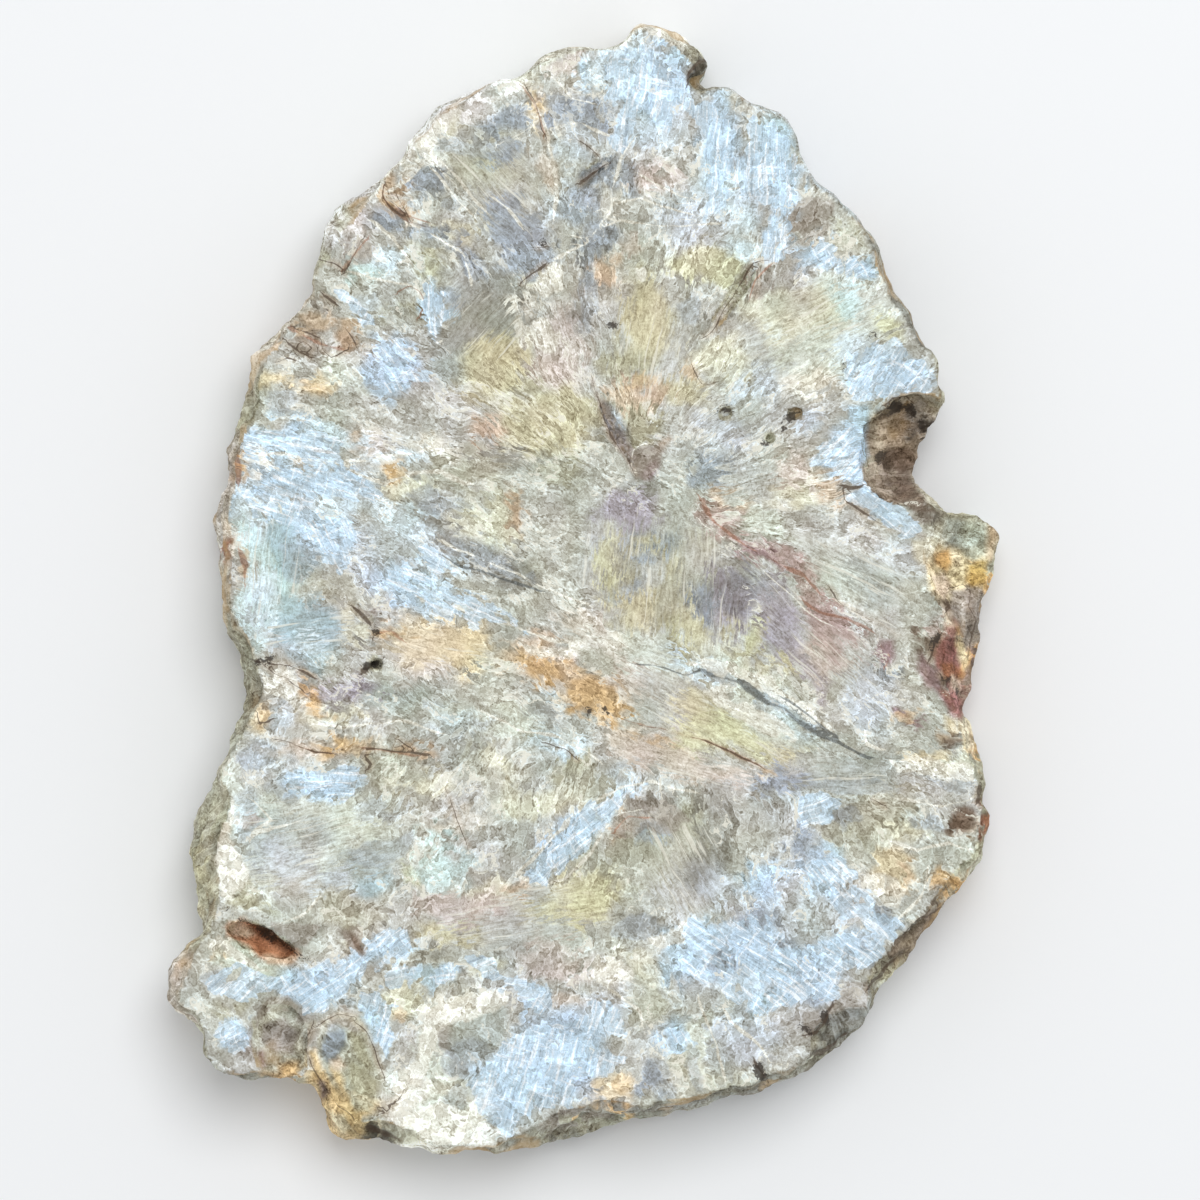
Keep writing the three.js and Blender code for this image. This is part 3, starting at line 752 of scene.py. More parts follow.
# %% Stamp the landmarks
LANDMARKS = (
    # Lobe
    ("khaki", "314,1034 324,1021 340,1014 356,1018 368,1032 378,1056 383,1082 376,1102 350,1108"
     " 330,1080"),
    ("brown", "330,1018 350,1017 362,1030 356,1036 340,1026 326,1030"),
    ("graphite", "322,1036 332,1032 348,1030 347,1046 340,1052 338,1060 328,1062 322,1050"),
    ("olive", "350,1032 360,1034 368,1050 374,1070 366,1072 358,1062 352,1048"),
    ("apricot", "332,1060 340,1056 345,1066 340,1072 332,1068"),
    ("olive", "350,1062 362,1068 378,1080 376,1096 356,1098 348,1080"),
    ("honey", "333,1068 342,1074 348,1092 362,1098 382,1100 376,1112 366,1118 346,1108 337,1086"),
    ("honey", "311,1050 318,1048 323,1066 333,1086 347,1106 360,1122 350,1136 338,1132 325,1106"
     " 315,1078"),
    ("straw", "348,1092 362,1098 380,1100 372,1112 356,1112"),
    ("rosewood", "316,1078 323,1080 330,1092 322,1100"),
    ("peach", "330,1112 344,1118 352,1132 342,1136 334,1126"),
    # Broken corner beside it
    ("khaki", "257,1018 266,1002 284,998 295,1008 297,1024 316,1022 309,1050 303,1068 276,1074"
     " 258,1070 253,1040"),
    ("brown", "264,1022 284,1018 300,1034 296,1056 276,1052 262,1040"),
    ("moss", "262,1005 276,998 290,1003 288,1010 272,1012"),
    ("plum", "259,1052 265,1052 267,1066 261,1069"),
    ("ochre", "278,1067 300,1060 298,1072 282,1076"),
    # Rusty slot and the olive folds beside it. The slot's rust is painted lighter than it is, as painted
    # light against the shade of the deep slot
    ("ember", "226,926 240,918 252,923 272,935 299,952 290,962 268,960 246,946 229,937"),
    ("apricot", "227,926 239,919 250,926 256,934 246,940 230,935"),
    ("rust", "250,944 262,940 270,948 264,954"),
    ("apricot", "264,953 284,957 298,953 290,962 268,961"),
    ("smoke", "262,925 290,930 318,924 332,926 322,934 300,945 286,938 270,933"),
    ("umber", "338,930 350,931 360,940 367,953 360,957 350,946"),
    # Hollow
    ("sky", "850,404 869,402 869,424 867,440 865,456 860,470 852,474"),
    ("hazel", "880,414 903,410 906,426 900,444 884,446 876,432"),
    ("umber", "884,450 898,445 912,450 914,470 900,474 886,462"),
    # Painted shadow: dark brown below the hollow's lower edge
    ("umber", "895,478 908,474 918,490 930,504 945,513 920,516 905,508 898,495"),
    # Shoulder
    ("khaki", "914,515 985,518 995,545 975,560 950,545 930,540"),
    ("leaf", "944,520 976,520 986,536 966,546 944,536"),
    ("bark", "908,514 942,515 940,522 924,524 912,522"),
    ("straw", "912,542 930,536 946,542 934,554 924,566 914,558"),
    ("tan", "986,524 996,530 995,560 988,562 986,545"),
    ("cornmeal", "926,558 940,545 958,548 970,566 962,600 946,606 930,590"),
    ("orange", "936,554 948,549 953,562 946,572 936,566"),
    ("peach", "950,546 962,550 962,566 953,570"),
    ("apricot", "930,574 944,572 950,584 946,604 934,594"),
    ("yellow_stain", "968,564 989,558 986,591 974,595 966,580"),
    ("bark", "950,590 984,588 979,642 964,650 958,625 950,610"),
    ("sand", "958,602 964,600 966,618 960,620"),
    ("umber", "940,600 950,602 952,612 944,612"),
    ("apricot", "941,612 950,611 953,625 944,627"),
    # Painted shade in a crevice
    ("dark", "929,650 934,636 942,633 937,648 930,660"),
    ("red", "930,654 942,637 955,639 960,658 954,672 936,672"),
    ("cornmeal", "956,634 962,642 969,656 966,670 960,658"),
    ("rust", "940,664 956,662 966,672 956,684 942,680"),
    ("plum", "918,652 930,664 938,684 926,686 915,668"),
    ("rosewood", "922,668 934,672 938,684 928,690"),
    ("plum", "926,666 940,670 946,690 956,702 950,712 936,694 925,682"),
    # Painted shade in a crevice
    ("dark", "940,680 950,679 948,690 941,690"),
    ("apricot", "951,676 962,680 962,694 953,692"),
    ("red", "938,690 952,692 963,698 962,718 952,716 944,702"),
    ("peach", "946,716 958,720 960,732 948,730"),
    # Small marks of the face
    ("grey_green", "450,1026 468,1010 500,1001 507,1012 500,1040 482,1070 464,1064 449,1050"),
    ("dusk", "592,380 600,399 608,403 615,412 624,430 630,446 631,458 636,472 628,464 617,448 608,432"
     " 602,416"),
    ("mist", "609,404 614,407 621,420 625,431 618,426 612,414"),
    ("bark", "634,452 642,446 650,447 657,452 662,458 660,468 654,478 646,481 638,476 632,466"),
    ("plum", "648,464 659,460 660,468 654,478 646,480 642,474"),
    ("hazel", "655,450 662,440 668,434 672,440 666,448 660,456"),
    ("umber", "311,713 320,714 331,718 328,721 316,718"),
    ("plum", "880,640 891,640 896,656 888,668 880,660"),
    # The crown's pocket: dark grey, partly its own colour and partly painted shade
    ("graphite", "580,185 590,173 602,164 610,160 607,171 597,179 586,186"),
    ("umber", "952,808 966,804 978,812 974,830 958,834 950,822"),
)

LANDMARK_STRENGTH = 0.9
LANDMARK_BORDER = 5  # pixels over which a landmark runs out


def cover_of(outline):
    """1 inside an outline, 0 outside, with a narrow soft border."""
    return np.clip(0.5 + patch(picked(outline), barely_shaken) / LANDMARK_BORDER, 0, 1)[:, None]


for name, outline in LANDMARKS:
    cover = LANDMARK_STRENGTH * cover_of(outline)
    for paint in coats.values():
        paint += cover * (linear(*PALETTE[name]) - paint)
print("landmarks:", len(LANDMARKS))

# %% [markdown]
# ## What the saw left
# The saw scuffed the stone in blue-white patches full of scratches, and left other zones
# smooth and finely brushed. Each is an outline with the way that its strokes run. Painting
# the strokes one by one would take days. Here every point only learns its place along and
# across the strokes, and the material draws them as a stretched noise.

# %% Draw the scuffs and the brushed zones
# The way that the saw's scratches run, in degrees, then the outline
SCUFFS = {
    "crown": (80, "604,58 640,42 664,60 682,76 686,100 668,126 642,116 622,150 612,136 620,100 604,96"),
    "crown_right": (88, "692,98 720,106 735,130 733,160 726,216 706,220 712,180 705,140 690,122"),
    "shoulder_lines": (90, "742,118 775,120 794,148 800,166 793,190 790,215 766,215 746,200 738,170"),
    "shoulder_block": (90, "766,218 790,218 788,240 795,258 770,255 762,248"),
    "shoulder_bar": (30, "795,256 820,243 836,245 842,262 870,268 880,281 850,278 820,268 800,270"),
    "right_edge": (60, "850,352 880,336 905,342 925,360 933,385 925,398 895,398 870,400 850,386"
        " 844,366"),
    "beside_hollow": (45, "820,440 845,420 868,426 872,440 867,460 855,480 835,475 815,466 806,460"),
    "tongue": (-40, "844,489 860,489 861,478 872,473 880,482 895,500 906,515 925,530 898,534 880,520"
        " 862,507"),
    "trapezoid": (-55, "383,346 400,340 414,358 420,375 438,366 425,382 405,395 383,398 380,370"),
    "strip": (90, "428,290 440,295 443,315 437,340 438,366 431,360 430,330 424,315"),
    "left_cell": (60, "342,290 360,298 378,324 365,323 352,312"),
    "left_upper": (-15, "243,432 290,428 325,430 348,440 345,462 310,462 280,452 250,450"),
    "left_lower": (-20, "285,470 310,464 345,467 372,482 392,496 340,500 315,496 300,520 270,520"
        " 244,500 245,484"),
    "left_tail": (-60, "300,520 330,524 356,525 350,550 341,570 320,556 305,540"),
    "streak_upper": (-25, "404,544 440,554 456,572 430,566"),
    "streak_lower": (-25, "384,574 410,565 440,584 480,600 528,627 470,622 430,610 400,600"),
    "bar": (0, "284,772 320,768 366,765 362,776 355,795 325,798 305,795 285,786"),
    "low_band": (35, "205,986 235,968 290,976 330,965 365,945 412,925 412,946 395,965 360,975"
        " 330,1002 330,1020 300,1016 280,995 250,1000"),
    "low_band_end": (10, "420,960 458,968 456,985 440,982 420,973 400,986 374,995 395,968"),
    "low_foot": (70, "352,990 376,990 393,1010 388,1030 392,1050 385,1066 374,1050 356,1015"),
    "low_corner": (30, "215,1036 230,1020 250,1030 252,1050 235,1060 221,1055"),
    "bottom": (75, "512,1030 545,1018 575,1020 595,1010 603,1036 620,1064 600,1080 580,1085 575,1098"
        " 550,1105 525,1118 518,1136 504,1140 490,1115 462,1086 490,1060"),
    "bottom_right": (75, "582,1004 612,998 622,1028 606,1046 590,1034"),
    "bottom_top": (60, "530,996 556,985 560,1005 535,1020"),
    "bottom_bit": (20, "470,962 495,955 502,968 516,977 505,986 486,974"),
    "bottom_bar": (0, "488,985 540,978 560,986 525,992"),
    "narrow": (-60, "658,1018 675,1024 692,1042 682,1056 668,1040"),
    "low_right": (-35, "682,936 690,920 720,922 760,918 800,945 830,940 860,935 886,945 880,960"
        " 860,965 836,975 838,996 790,1006 760,1010 735,1005 715,980 690,985"),
    "low_right_top": (-45, "800,870 830,854 856,870 870,904 905,925 895,940 870,930 845,915 815,890"),
    "lens": (38, "522,874 545,852 565,830 590,808 620,793 646,783 636,797 612,814 596,836 572,866"
        " 545,886"),
    "right_small": (20, "798,802 820,791 850,802 832,830 802,820"),
}

# The same for the zones that are finely brushed
CALM_ZONES = {
    "middle": (84, "588,524 640,506 690,520 722,556 748,610 742,650 690,646 640,636 604,612 580,570"),
    "purple": (-42, "736,556 790,590 850,640 880,690 840,690 790,668 764,650 764,610"),
    "pale_right": (-28, "790,536 850,546 900,566 914,600 896,626 850,604 812,576"),
    "straw_low": (-26, "600,652 650,650 690,686 750,716 810,746 790,764 720,744 650,720 630,690"),
    "sand_band": (-18, "560,616 620,634 690,660 668,672 610,650 560,640"),
    "upper_right": (24, "770,296 830,282 880,296 884,326 840,350 800,382 760,372 744,330"),
    "yellow_top": (80, "616,296 660,288 688,320 690,376 646,396 620,360"),
    "teal_left": (82, "244,524 296,520 306,560 306,590 290,600 256,640 242,600"),
    "teal_low": (8, "262,608 340,602 356,620 350,648 300,652 264,646"),
    "low_left": (12, "244,806 330,798 396,822 396,868 350,896 280,892 248,876"),
    "grey_left": (48, "450,276 500,296 520,330 500,358 456,364 444,320"),
    "crown_flat": (-44, "452,154 530,150 546,184 538,236 500,246 472,212"),
    "low_middle": (8, "436,902 520,892 600,888 620,920 560,942 470,944 436,930"),
    "low_olive": (-60, "640,830 690,812 720,850 716,900 680,920 650,890"),
    "sand_low": (-14, "630,735 690,744 764,768 744,786 680,778 620,760"),
    "peach": (-15, "396,634 440,626 480,646 470,664 420,664 394,650"),
    "low_grey": (0, "806,756 880,766 890,786 830,792 780,780"),
}


def hatched(zones):
    """The nearest of several outlines, and each point's place along and across its strokes."""
    nearest = np.full(len(pixels), -float(REACH))
    strokes = np.zeros((len(pixels), 3))
    for angle, text in zones.values():
        field = patch(picked(text))
        nearer = field > nearest
        nearest[nearer] = field[nearer]
        run = np.radians(angle)
        along = pixels[:, 0] * np.cos(run) - pixels[:, 1] * np.sin(run)
        across = pixels[:, 0] * np.sin(run) + pixels[:, 1] * np.cos(run)
        strokes[nearer, 0] = along[nearer]
        strokes[nearer, 1] = across[nearer]
    return nearest, strokes


scuff, stroke = hatched(SCUFFS)
calm, brush = hatched(CALM_ZONES)
print("scuffs:", len(SCUFFS), "brushed zones:", len(CALM_ZONES))

# %% [markdown]
# ## Patches with sharp edges
# Cream patches, grey cells, brown chips, rusty beds and dark holes have clear borders. They
# could be cut out as separate meshes, but they lie flush in the sawn face. So each kind is
# one distance field, and the material breaks its border up with noise. It stays crisp at
# any size.

# %% Draw the patches
CREAM_PATCHES = {
    "grey_band": "700,660 730,662 772,684 804,706 832,726 820,727 780,702 740,681 704,668",
    "grey_band_low": "694,684 720,690 760,714 800,740 788,742 750,724 708,700",
    "bed_top": "518,650 556,641 580,652 570,660 548,653",
    "split_upper": "272,664 292,668 300,688 290,684 276,674",
    "vein_blot": "522,284 556,258 572,264 560,286 538,298",
    "knots": "512,322 546,318 560,336 552,354 518,348",
    "arch": "438,998 500,990 500,1002 470,1020 448,1022 436,1032 430,1062 416,1084 396,1108 380,1106"
        " 404,1074 420,1058 426,1020",
    "foot": "402,1120 440,1105 480,1110 506,1136 480,1148 430,1148 406,1136",
    "low_bright": "594,962 615,955 626,975 610,986 590,975",
    "low_bright_right": "648,942 680,926 702,924 690,946 660,950",
    "left_rim": "216,800 228,798 240,880 232,902 222,890 218,840",
    "right_band": "886,762 940,761 985,768 975,781 930,778 900,776",
    "slot_lip": "204,946 228,926 240,950 276,963 260,971 235,966",
    "rim_top_left": "392,172 408,160 440,158 446,166 414,170 404,182",
    "rim_crown": "410,140 440,108 470,108 462,126 440,130 424,156",
    "split_island": "262,668 292,684 312,700 300,708 262,700",
    "right_rim": "868,880 886,874 905,890 900,912 880,906",
    "white_dot": "638,268 646,266 648,274 640,276",
}

BROWN_PATCHES = {
    "shoulder_chip": "797,205 812,198 833,200 833,215 825,230 812,241 798,238 793,225",
    "leaf": "632,448 648,444 660,448 664,460 655,475 643,478 634,465",
    "leaf_stem": "600,400 608,405 620,425 632,447 634,465 622,450 608,425",
    "broken": "255,1015 265,1000 285,998 297,1010 295,1030 318,1030 310,1060 300,1070 270,1072"
        " 258,1055 252,1035",
    "corner": "842,985 865,978 880,985 872,1010 860,1030 840,1040 830,1020 838,1000",
    "corner_low": "800,1010 820,1005 828,1020 815,1036 800,1030",
    "trough_floor": "745,272 760,263 776,266 770,286 755,300 748,290",
    "low_chip": "616,822 640,812 652,820 636,838 614,840",
    "lens_shade": "626,808 640,799 668,800 686,814 678,828 654,832 640,822",
    "crown_chip": "744,152 760,146 766,160 748,166",
    "left_knot": "286,345 318,335 326,352 316,360 296,356",
    "slot_shade": "270,926 300,922 322,926 312,940 296,944",
    "fold": "350,262 362,238 376,246 366,262",
    "brown_spur": "342,930 352,936 364,952 354,954",
}

# Column, row, half length, half width, turn in degrees
SLATE_OVALS = (
    (500, 120, 30, 10, 10), (482, 150, 44, 9, -5), (430, 182, 20, 11, 20), (450, 204, 11, 8, 0),
    (512, 236, 18, 26, 20), (390, 226, 32, 11, -15), (430, 236, 30, 7, -12), (472, 262, 9, 26, 25),
    (530, 258, 28, 12, 15), (604, 236, 17, 15, 0), (572, 106, 26, 16, 0), (596, 172, 15, 8, 35),
    (610, 100, 8, 18, -10), (585, 300, 12, 26, 10), (690, 308, 10, 16, 0), (640, 930, 24, 12, 0),
    (893, 926, 18, 8, -8), (848, 820, 16, 12, 0), (806, 850, 18, 24, 0), (845, 786, 44, 8, -4),
    (940, 780, 28, 6, -14), (930, 824, 20, 6, -20), (280, 400, 18, 8, 10), (440, 500, 24, 9, -10),
    (484, 560, 44, 8, -24), (420, 566, 24, 6, -24), (300, 560, 22, 20, 0), (282, 790, 18, 10, 0),
    (256, 756, 16, 14, 0), (380, 850, 34, 14, 20), (660, 1080, 14, 20, 10), (696, 1068, 6, 18, 20),
    (470, 1060, 26, 20, 20), (456, 1100, 14, 12, 0), (212, 978, 10, 5, 0), (336, 1040, 10, 14, 0),
    (716, 678, 26, 5, -12), (764, 702, 30, 6, -32), (812, 730, 28, 6, -30), (806, 716, 26, 4, -28),
)

RUST_OVALS = (
    (578, 690, 44, 22, -34), (395, 474, 11, 9, 20), (240, 470, 8, 10, 0), (315, 702, 9, 10, 0),
    (352, 746, 24, 7, 6), (650, 742, 22, 3, -14), (242, 566, 4, 12, 0), (388, 634, 14, 4, 0),
    (302, 466, 12, 6, -10), (312, 390, 20, 6, -22), (358, 434, 7, 5, 0), (770, 770, 7, 5, 0),
    (908, 716, 15, 7, 20), (538, 106, 5, 8, 20), (390, 203, 4, 14, 40), (322, 716, 10, 4, -10),
    (264, 712, 6, 9, 0), (400, 1018, 10, 5, 0), (622, 1086, 10, 12, 0), (894, 888, 12, 8, 0),
    (690, 372, 8, 8, 0), (640, 384, 16, 5, 30), (300, 470, 6, 4, 0),
)

# Holes, crevices and a thin line along the slot's upper wall, painted dark as painted shade, in the same
# form
SHADE_OVALS = (
    (794, 417, 7, 5, 30), (785, 427, 3, 5, 0), (768, 440, 5, 4, 0), (724, 414, 5, 3, 0),
    (621, 326, 4, 5, 0), (875, 333, 3, 5, -30), (845, 361, 2.5, 4, -20), (377, 633, 5, 4, 0),
    (373, 667, 9, 5, 25), (893, 408, 10, 7, 20), (912, 412, 6, 9, 20), (924, 428, 5, 8, 0),
    (880, 456, 8, 4, 30), (258, 658, 6, 4, 0), (270, 657, 3, 3, 0), (810, 1030, 12, 5, -20),
    (828, 1016, 5, 10, 10), (760, 1070, 5, 8, 30), (545, 242, 5, 3, 30), (934, 643, 4, 6, -30),
    (945, 681, 5, 3, 0), (957, 692, 3, 4, 0), (608, 710, 4, 3, 0), (593, 714, 3, 5, 0),
    # painted shade along the slot's upper wall
    (270, 934, 32, 2.2, -31),
)


def fields(outlines, spots=shaken):
    """The nearest of several outlines, as one field."""
    return np.max([patch(picked(text), spots) for text in outlines], axis=0)


def oval_fields(ovals):
    """The nearest of several ovals, as one field of distances in pixels."""
    distances = [(1 - oval(*place)) * min(place[2:4]) for place in ovals]
    return np.max(np.clip(distances, -REACH, REACH), axis=0)


cream = fields(CREAM_PATCHES.values())
brown = fields(BROWN_PATCHES.values())
slate = oval_fields(SLATE_OVALS)
rust = oval_fields(RUST_OVALS)
dark = oval_fields(SHADE_OVALS)
print("outlines:", len(CREAM_PATCHES) + len(BROWN_PATCHES))
print("ovals:", len(SLATE_OVALS) + len(RUST_OVALS) + len(SHADE_OVALS))

# %% [markdown]
# ## Places that stay clear
# The lobe, the broken corner and the rusty slot have tones of their own, and no scuffs. So
# the fields of scuffs and cream are lowered inside three more outlines. To redraw every
# patch around them would be much more work.

# %% Keep the landmarks clear
CLEAR = {
    "lobe": "306,1040 312,1024 326,1012 342,1006 362,1012 376,1030 386,1056 390,1082 384,1106 350,1118"
        " 320,1100",
    "corner": "250,1040 252,1016 264,996 286,992 300,1006 302,1020 312,1040 306,1066 276,1076 256,1072",
    "slot": "220,926 240,912 258,920 280,926 320,916 352,924 372,950 362,962 340,940 304,950 292,966"
        " 262,966 226,942",
}
CLEAR_PULL = 2  # how much faster than the distance a field falls there

clear = fields(CLEAR.values(), barely_shaken)
scuff = np.minimum(scuff, -CLEAR_PULL * clear)
cream = np.minimum(cream, -CLEAR_PULL * clear)
print("clear places:", len(CLEAR))

# %% [markdown]
# ## Veins
# Cream veins run from the rim inwards, and thin seams of rust and grey cross the face. A
# curve with a thickness would stand proud of the sawn stone, so they are drawn as lines, in
# the same way as the cracks.

# %% Draw the veins
# Width in pixels, then the line
RUST_SEAMS = {
    "plum_streak": (4, "698,500 716,522 744,545 774,562 802,577 818,592"),
    "plum_tail": (2.5, "802,600 824,612 846,620 872,634"),
    "red_thread": (3, "628,722 655,728 680,735 702,741 722,749 746,759 770,768"),
    "left_long": (2.5, "300,746 316,750 332,752"),
    "left_long_end": (2.5, "362,747 384,750 400,754 418,756"),
    "rim_left": (3, "384,184 383,197 392,208 408,220"),
    "crown": (2, "524,86 534,106 542,134"),
    "amber_rim": (5, "236,450 240,466 238,482"),
    "rim_dots": (4, "241,552 244,568 246,582"),
    "peach_edge": (4, "376,634 392,630 404,640"),
    "trough_edge": (3, "748,296 756,278 772,262"),
    "slate_knot": (3, "396,206 410,216 426,222"),
    "left_gash": (6, "288,326 304,334 322,344 340,348"),
    "left_fold": (5, "344,268 354,252 366,240"),
    "cell_arc": (2, "398,292 410,288 421,294 426,308 420,318"),
    "right_spot": (5, "882,648 890,656 886,666"),
    "low_chip": (4, "618,830 632,818 648,818"),
}

VEINS = {
    "crown": (4, "523,82 534,106 545,132 553,160 556,196 556,232"),
    "crown_spur": (3, "548,76 560,84 574,96 590,100"),
    "crown_branch": (3, "500,146 520,134 534,120"),
    "crown_loop": (3, "556,126 580,122 596,130 612,138"),
    "upper_left_long": (3, "440,162 460,182 478,204 490,216"),
    "upper_left_twin": (2, "430,168 452,194 472,216"),
    "upper_left_inner": (2, "490,196 508,210 520,226"),
    "rim_left": (4, "390,190 410,180 420,166"),
    "left_arc": (3, "372,222 396,240 412,262 404,262"),
    "left_line": (4, "410,224 440,240 462,254 472,282"),
    "left_line_low": (4, "352,272 388,282 414,288 428,310"),
    "slate_edge": (4, "560,256 590,240 610,216 612,190 622,160 634,140"),
    "thin_cross": (2, "556,232 590,236 620,222 680,226 720,224"),
    "seam_top": (2, "600,210 640,196 690,214"),
    "thin_right": (2, "640,176 690,200 740,188"),
    "left_mid": (4, "346,462 380,456 420,450 440,448"),
    "left_mid_low": (5, "384,482 410,474 440,470 470,482"),
    "left_low": (4, "250,452 290,458 340,464 380,480"),
    "diagonal_a": (3, "440,540 480,560 530,580 590,606"),
    "diagonal_b": (3, "420,600 470,612 520,628 560,640"),
    "diagonal_d": (1, "700,520 750,560 800,604 850,640"),
    "grey_top": (5, "690,664 720,668 750,684 790,706 830,728"),
    "right_white": (3, "868,724 866,740 880,748"),
    "low_left": (3, "250,800 270,822 250,836 300,820"),
    "low_seam": (3, "300,724 340,728 400,720 440,732"),
    "lens_rim": (3, "520,872 544,848 566,824 592,803 622,788 650,780 676,788 696,790"),
    "lens_low": (3, "522,876 540,888 566,878 590,852 606,830 622,816 640,812"),
    "low_white": (3, "480,712 520,730 560,736 600,760"),
    "bottom_rim": (4, "612,990 640,1010 646,1040 668,1060"),
    "bottom_ray": (3, "700,1000 716,1040 726,1076"),
    "bottom_ray_right": (3, "724,1010 752,1040 770,1060"),
    "slot_band": (4, "246,930 276,926 300,916 320,900"),
    "right_net": (3, "900,800 940,806 970,800 986,790"),
    "right_net_low": (3, "894,840 920,850 950,842 972,848"),
    "right_ray": (3, "930,870 916,900 900,920"),
    "leaf_rim": (1.5, "640,481 632,470 629,460 633,450 642,443 652,444"),
}

GREY_SEAMS = {
    "long": (6, "700,670 718,678 740,684 760,698 790,716 822,736"),
    "long_start": (2.5, "640,664 664,668 684,676 704,670"),
    "long_end": (3, "822,736 840,742 856,750 870,758"),
    "short": (4, "782,700 800,710 818,722 836,736"),
    "left": (3, "430,546 462,566 500,580 540,590"),
}

vein_distance, vein_side = draw_lines(VEINS)
grey_distance, grey_side = draw_lines(GREY_SEAMS)
seam_distance, seam_side = draw_lines(RUST_SEAMS)
print("veins:", len(VEINS), "seams:", len(RUST_SEAMS) + len(GREY_SEAMS))

# %% [markdown]
# ## The run of the fibres
# In most of the slice the fibres run like spokes from the pith. A straight bundle crosses the
# middle from the left edge to the lower right. One more field tells where that bundle is,
# so that the material can turn its streaks there. One direction for the whole face would
# look like planed wood.

# %% Find the bundle of straight fibres
PITH_PIXEL = (620, 500)  # where the rays of the wood meet
BUNDLE = "300,570 860,680"
BUNDLE_WIDTH = (150, 95)  # pixels from the middle line at which the bundle starts and is full
CORE_WIDTH = (120, 60)  # around the pith the rays get too narrow, so the fibres are straight too

first, last = picked(BUNDLE)
bundle_distance = to_segment(pixels, 2 * first - last, 2 * last - first)[0]
pith_distance = np.hypot(*(pixels - PITH_PIXEL).T)
straight = np.maximum(fade(bundle_distance, *BUNDLE_WIDTH), fade(pith_distance, *CORE_WIDTH))
print("share with straight fibres:", round(float(straight.mean()), 2))

# %% [markdown]
# ## Keep the drawing on the mesh
# Every field becomes an attribute of the mesh, one value for each point, which the material
# reads by name. A UV map and images could carry them too, but attributes need no unwrapping.

# %% Store the fields
FIELDS = {
    "scuff": scuff,
    "cream": cream,
    "slate": slate,
    "brown": brown,
    "rust": rust,
    "dark": dark,
    "vein": vein_distance,
    "vein_side": vein_side,
    "crack": crack_distance,
    "crack_side": crack_side,
    "calm": calm,
    "clear": clear,
    "straight": straight,
    "seam": seam_distance,
    "seam_side": seam_side,
    "grey": grey_distance,
    "grey_side": grey_side,
    "rind": is_rind.astype(float),
    "relief": MILLIMETRES * relief,
}
for name, values in FIELDS.items():
    attribute = stone.data.attributes.new(name, "FLOAT", "POINT")
    attribute.data.foreach_set("value", values.astype(np.float32))
for name, paint in coats.items():
    attribute = stone.data.attributes.new(name, "FLOAT_COLOR", "POINT")
    opaque = np.column_stack([paint, np.ones(len(paint))])
    attribute.data.foreach_set("color", opaque.astype(np.float32).ravel())
for name, places in {"stroke": stroke, "brush": brush}.items():
    attribute = stone.data.attributes.new(name, "FLOAT_VECTOR", "POINT")
    attribute.data.foreach_set("vector", places.astype(np.float32).ravel())
print("attributes:", [*FIELDS, *COATS, "stroke", "brush"])

# %% [markdown]
# ## Node helpers
# A material is a graph of nodes, which one can also wire by hand in the shader editor. These
# helpers add one node and feed it, so that each step of the material below is a single line
# that can be read in order.

# %% Node helpers


def add(tree, kind, inputs, output=0, **settings):
    """Adds a node, feeds its inputs by name or number, and returns one of its outputs."""
    made = tree.nodes.new(kind)
    for name, value in settings.items():
        setattr(made, name, value)
    for name, value in inputs.items():
        if isinstance(value, bpy.types.NodeSocket):
            tree.links.new(value, made.inputs[name])
        else:
            made.inputs[name].default_value = value
    return made.outputs[output]


def calc(tree, operation, first, second=0.0):
    """Arithmetic with one or two values."""
    return add(tree, "ShaderNodeMath", {0: first, 1: second}, operation=operation)


def remap(tree, value, low, high, new_low=0.0, new_high=1.0, smooth=True):
    """Values from low to high become new_low to new_high."""
    inputs = {"Value": value, "From Min": low, "From Max": high, "To Min": new_low, "To Max": new_high}
    course = "SMOOTHSTEP" if smooth else "LINEAR"
    return add(tree, "ShaderNodeMapRange", inputs, interpolation_type=course)


def mix(tree, share, first, second, blend="MIX"):
    """A share of the second colour over the first."""
    inputs = {0: share, 6: first, 7: second}
    return add(tree, "ShaderNodeMix", inputs, 2, data_type="RGBA", blend_type=blend)


def grains(tree, place, scale, detail, roughness, distortion=0.0, output=0, flat=False):
    """Fractal noise. Flat noise runs unchanged through the thickness, as the wood's grain does."""
    inputs = {
        "Vector": place,
        "Scale": scale,
        "Detail": detail,
        "Roughness": roughness,
        "Distortion": distortion,
    }
    return add(tree, "ShaderNodeTexNoise", inputs, output, noise_dimensions="2D" if flat else "3D")


def read(tree, name, output="Fac"):
    """An attribute of the mesh."""
    return add(tree, "ShaderNodeAttribute", {}, output, attribute_name=name)


def colour(name):
    """A colour of the palette, opaque."""
    return (*linear(*PALETTE[name]), 1)


print("node helpers:", [helper.__name__ for helper in (add, calc, remap, mix, grains, read, colour)])

# %% [markdown]
# ## Two groups for borders
# The first group turns a field into a mask. It adds noise to the distance, so that the border
# runs in and out. The second does the same for a line, from the side of the line and the
# distance to it. The side changes its sign on the line, so the line stays thin and unbroken
# between the points of the mesh, and the distance ends it where it should end.

# %% Border groups
LINE_CORE = (1.1, 0.3)  # half widths from a line at which its colour starts and is full
LINE_END_FADE = (8, 4)  # pixels from a line at which it starts and is full, past its ends


def new_group(name, inputs):
    """A node group with number inputs and one mask as its output."""
    made = bpy.data.node_groups.new(name, "ShaderNodeTree")
    for socket_name in inputs:
        made.interface.new_socket(socket_name, in_out="INPUT", socket_type="NodeSocketFloat")
    made.interface.new_socket("Mask", in_out="OUTPUT", socket_type="NodeSocketFloat")
    return made, made.nodes.new("NodeGroupInput").outputs, made.nodes.new("NodeGroupOutput").inputs


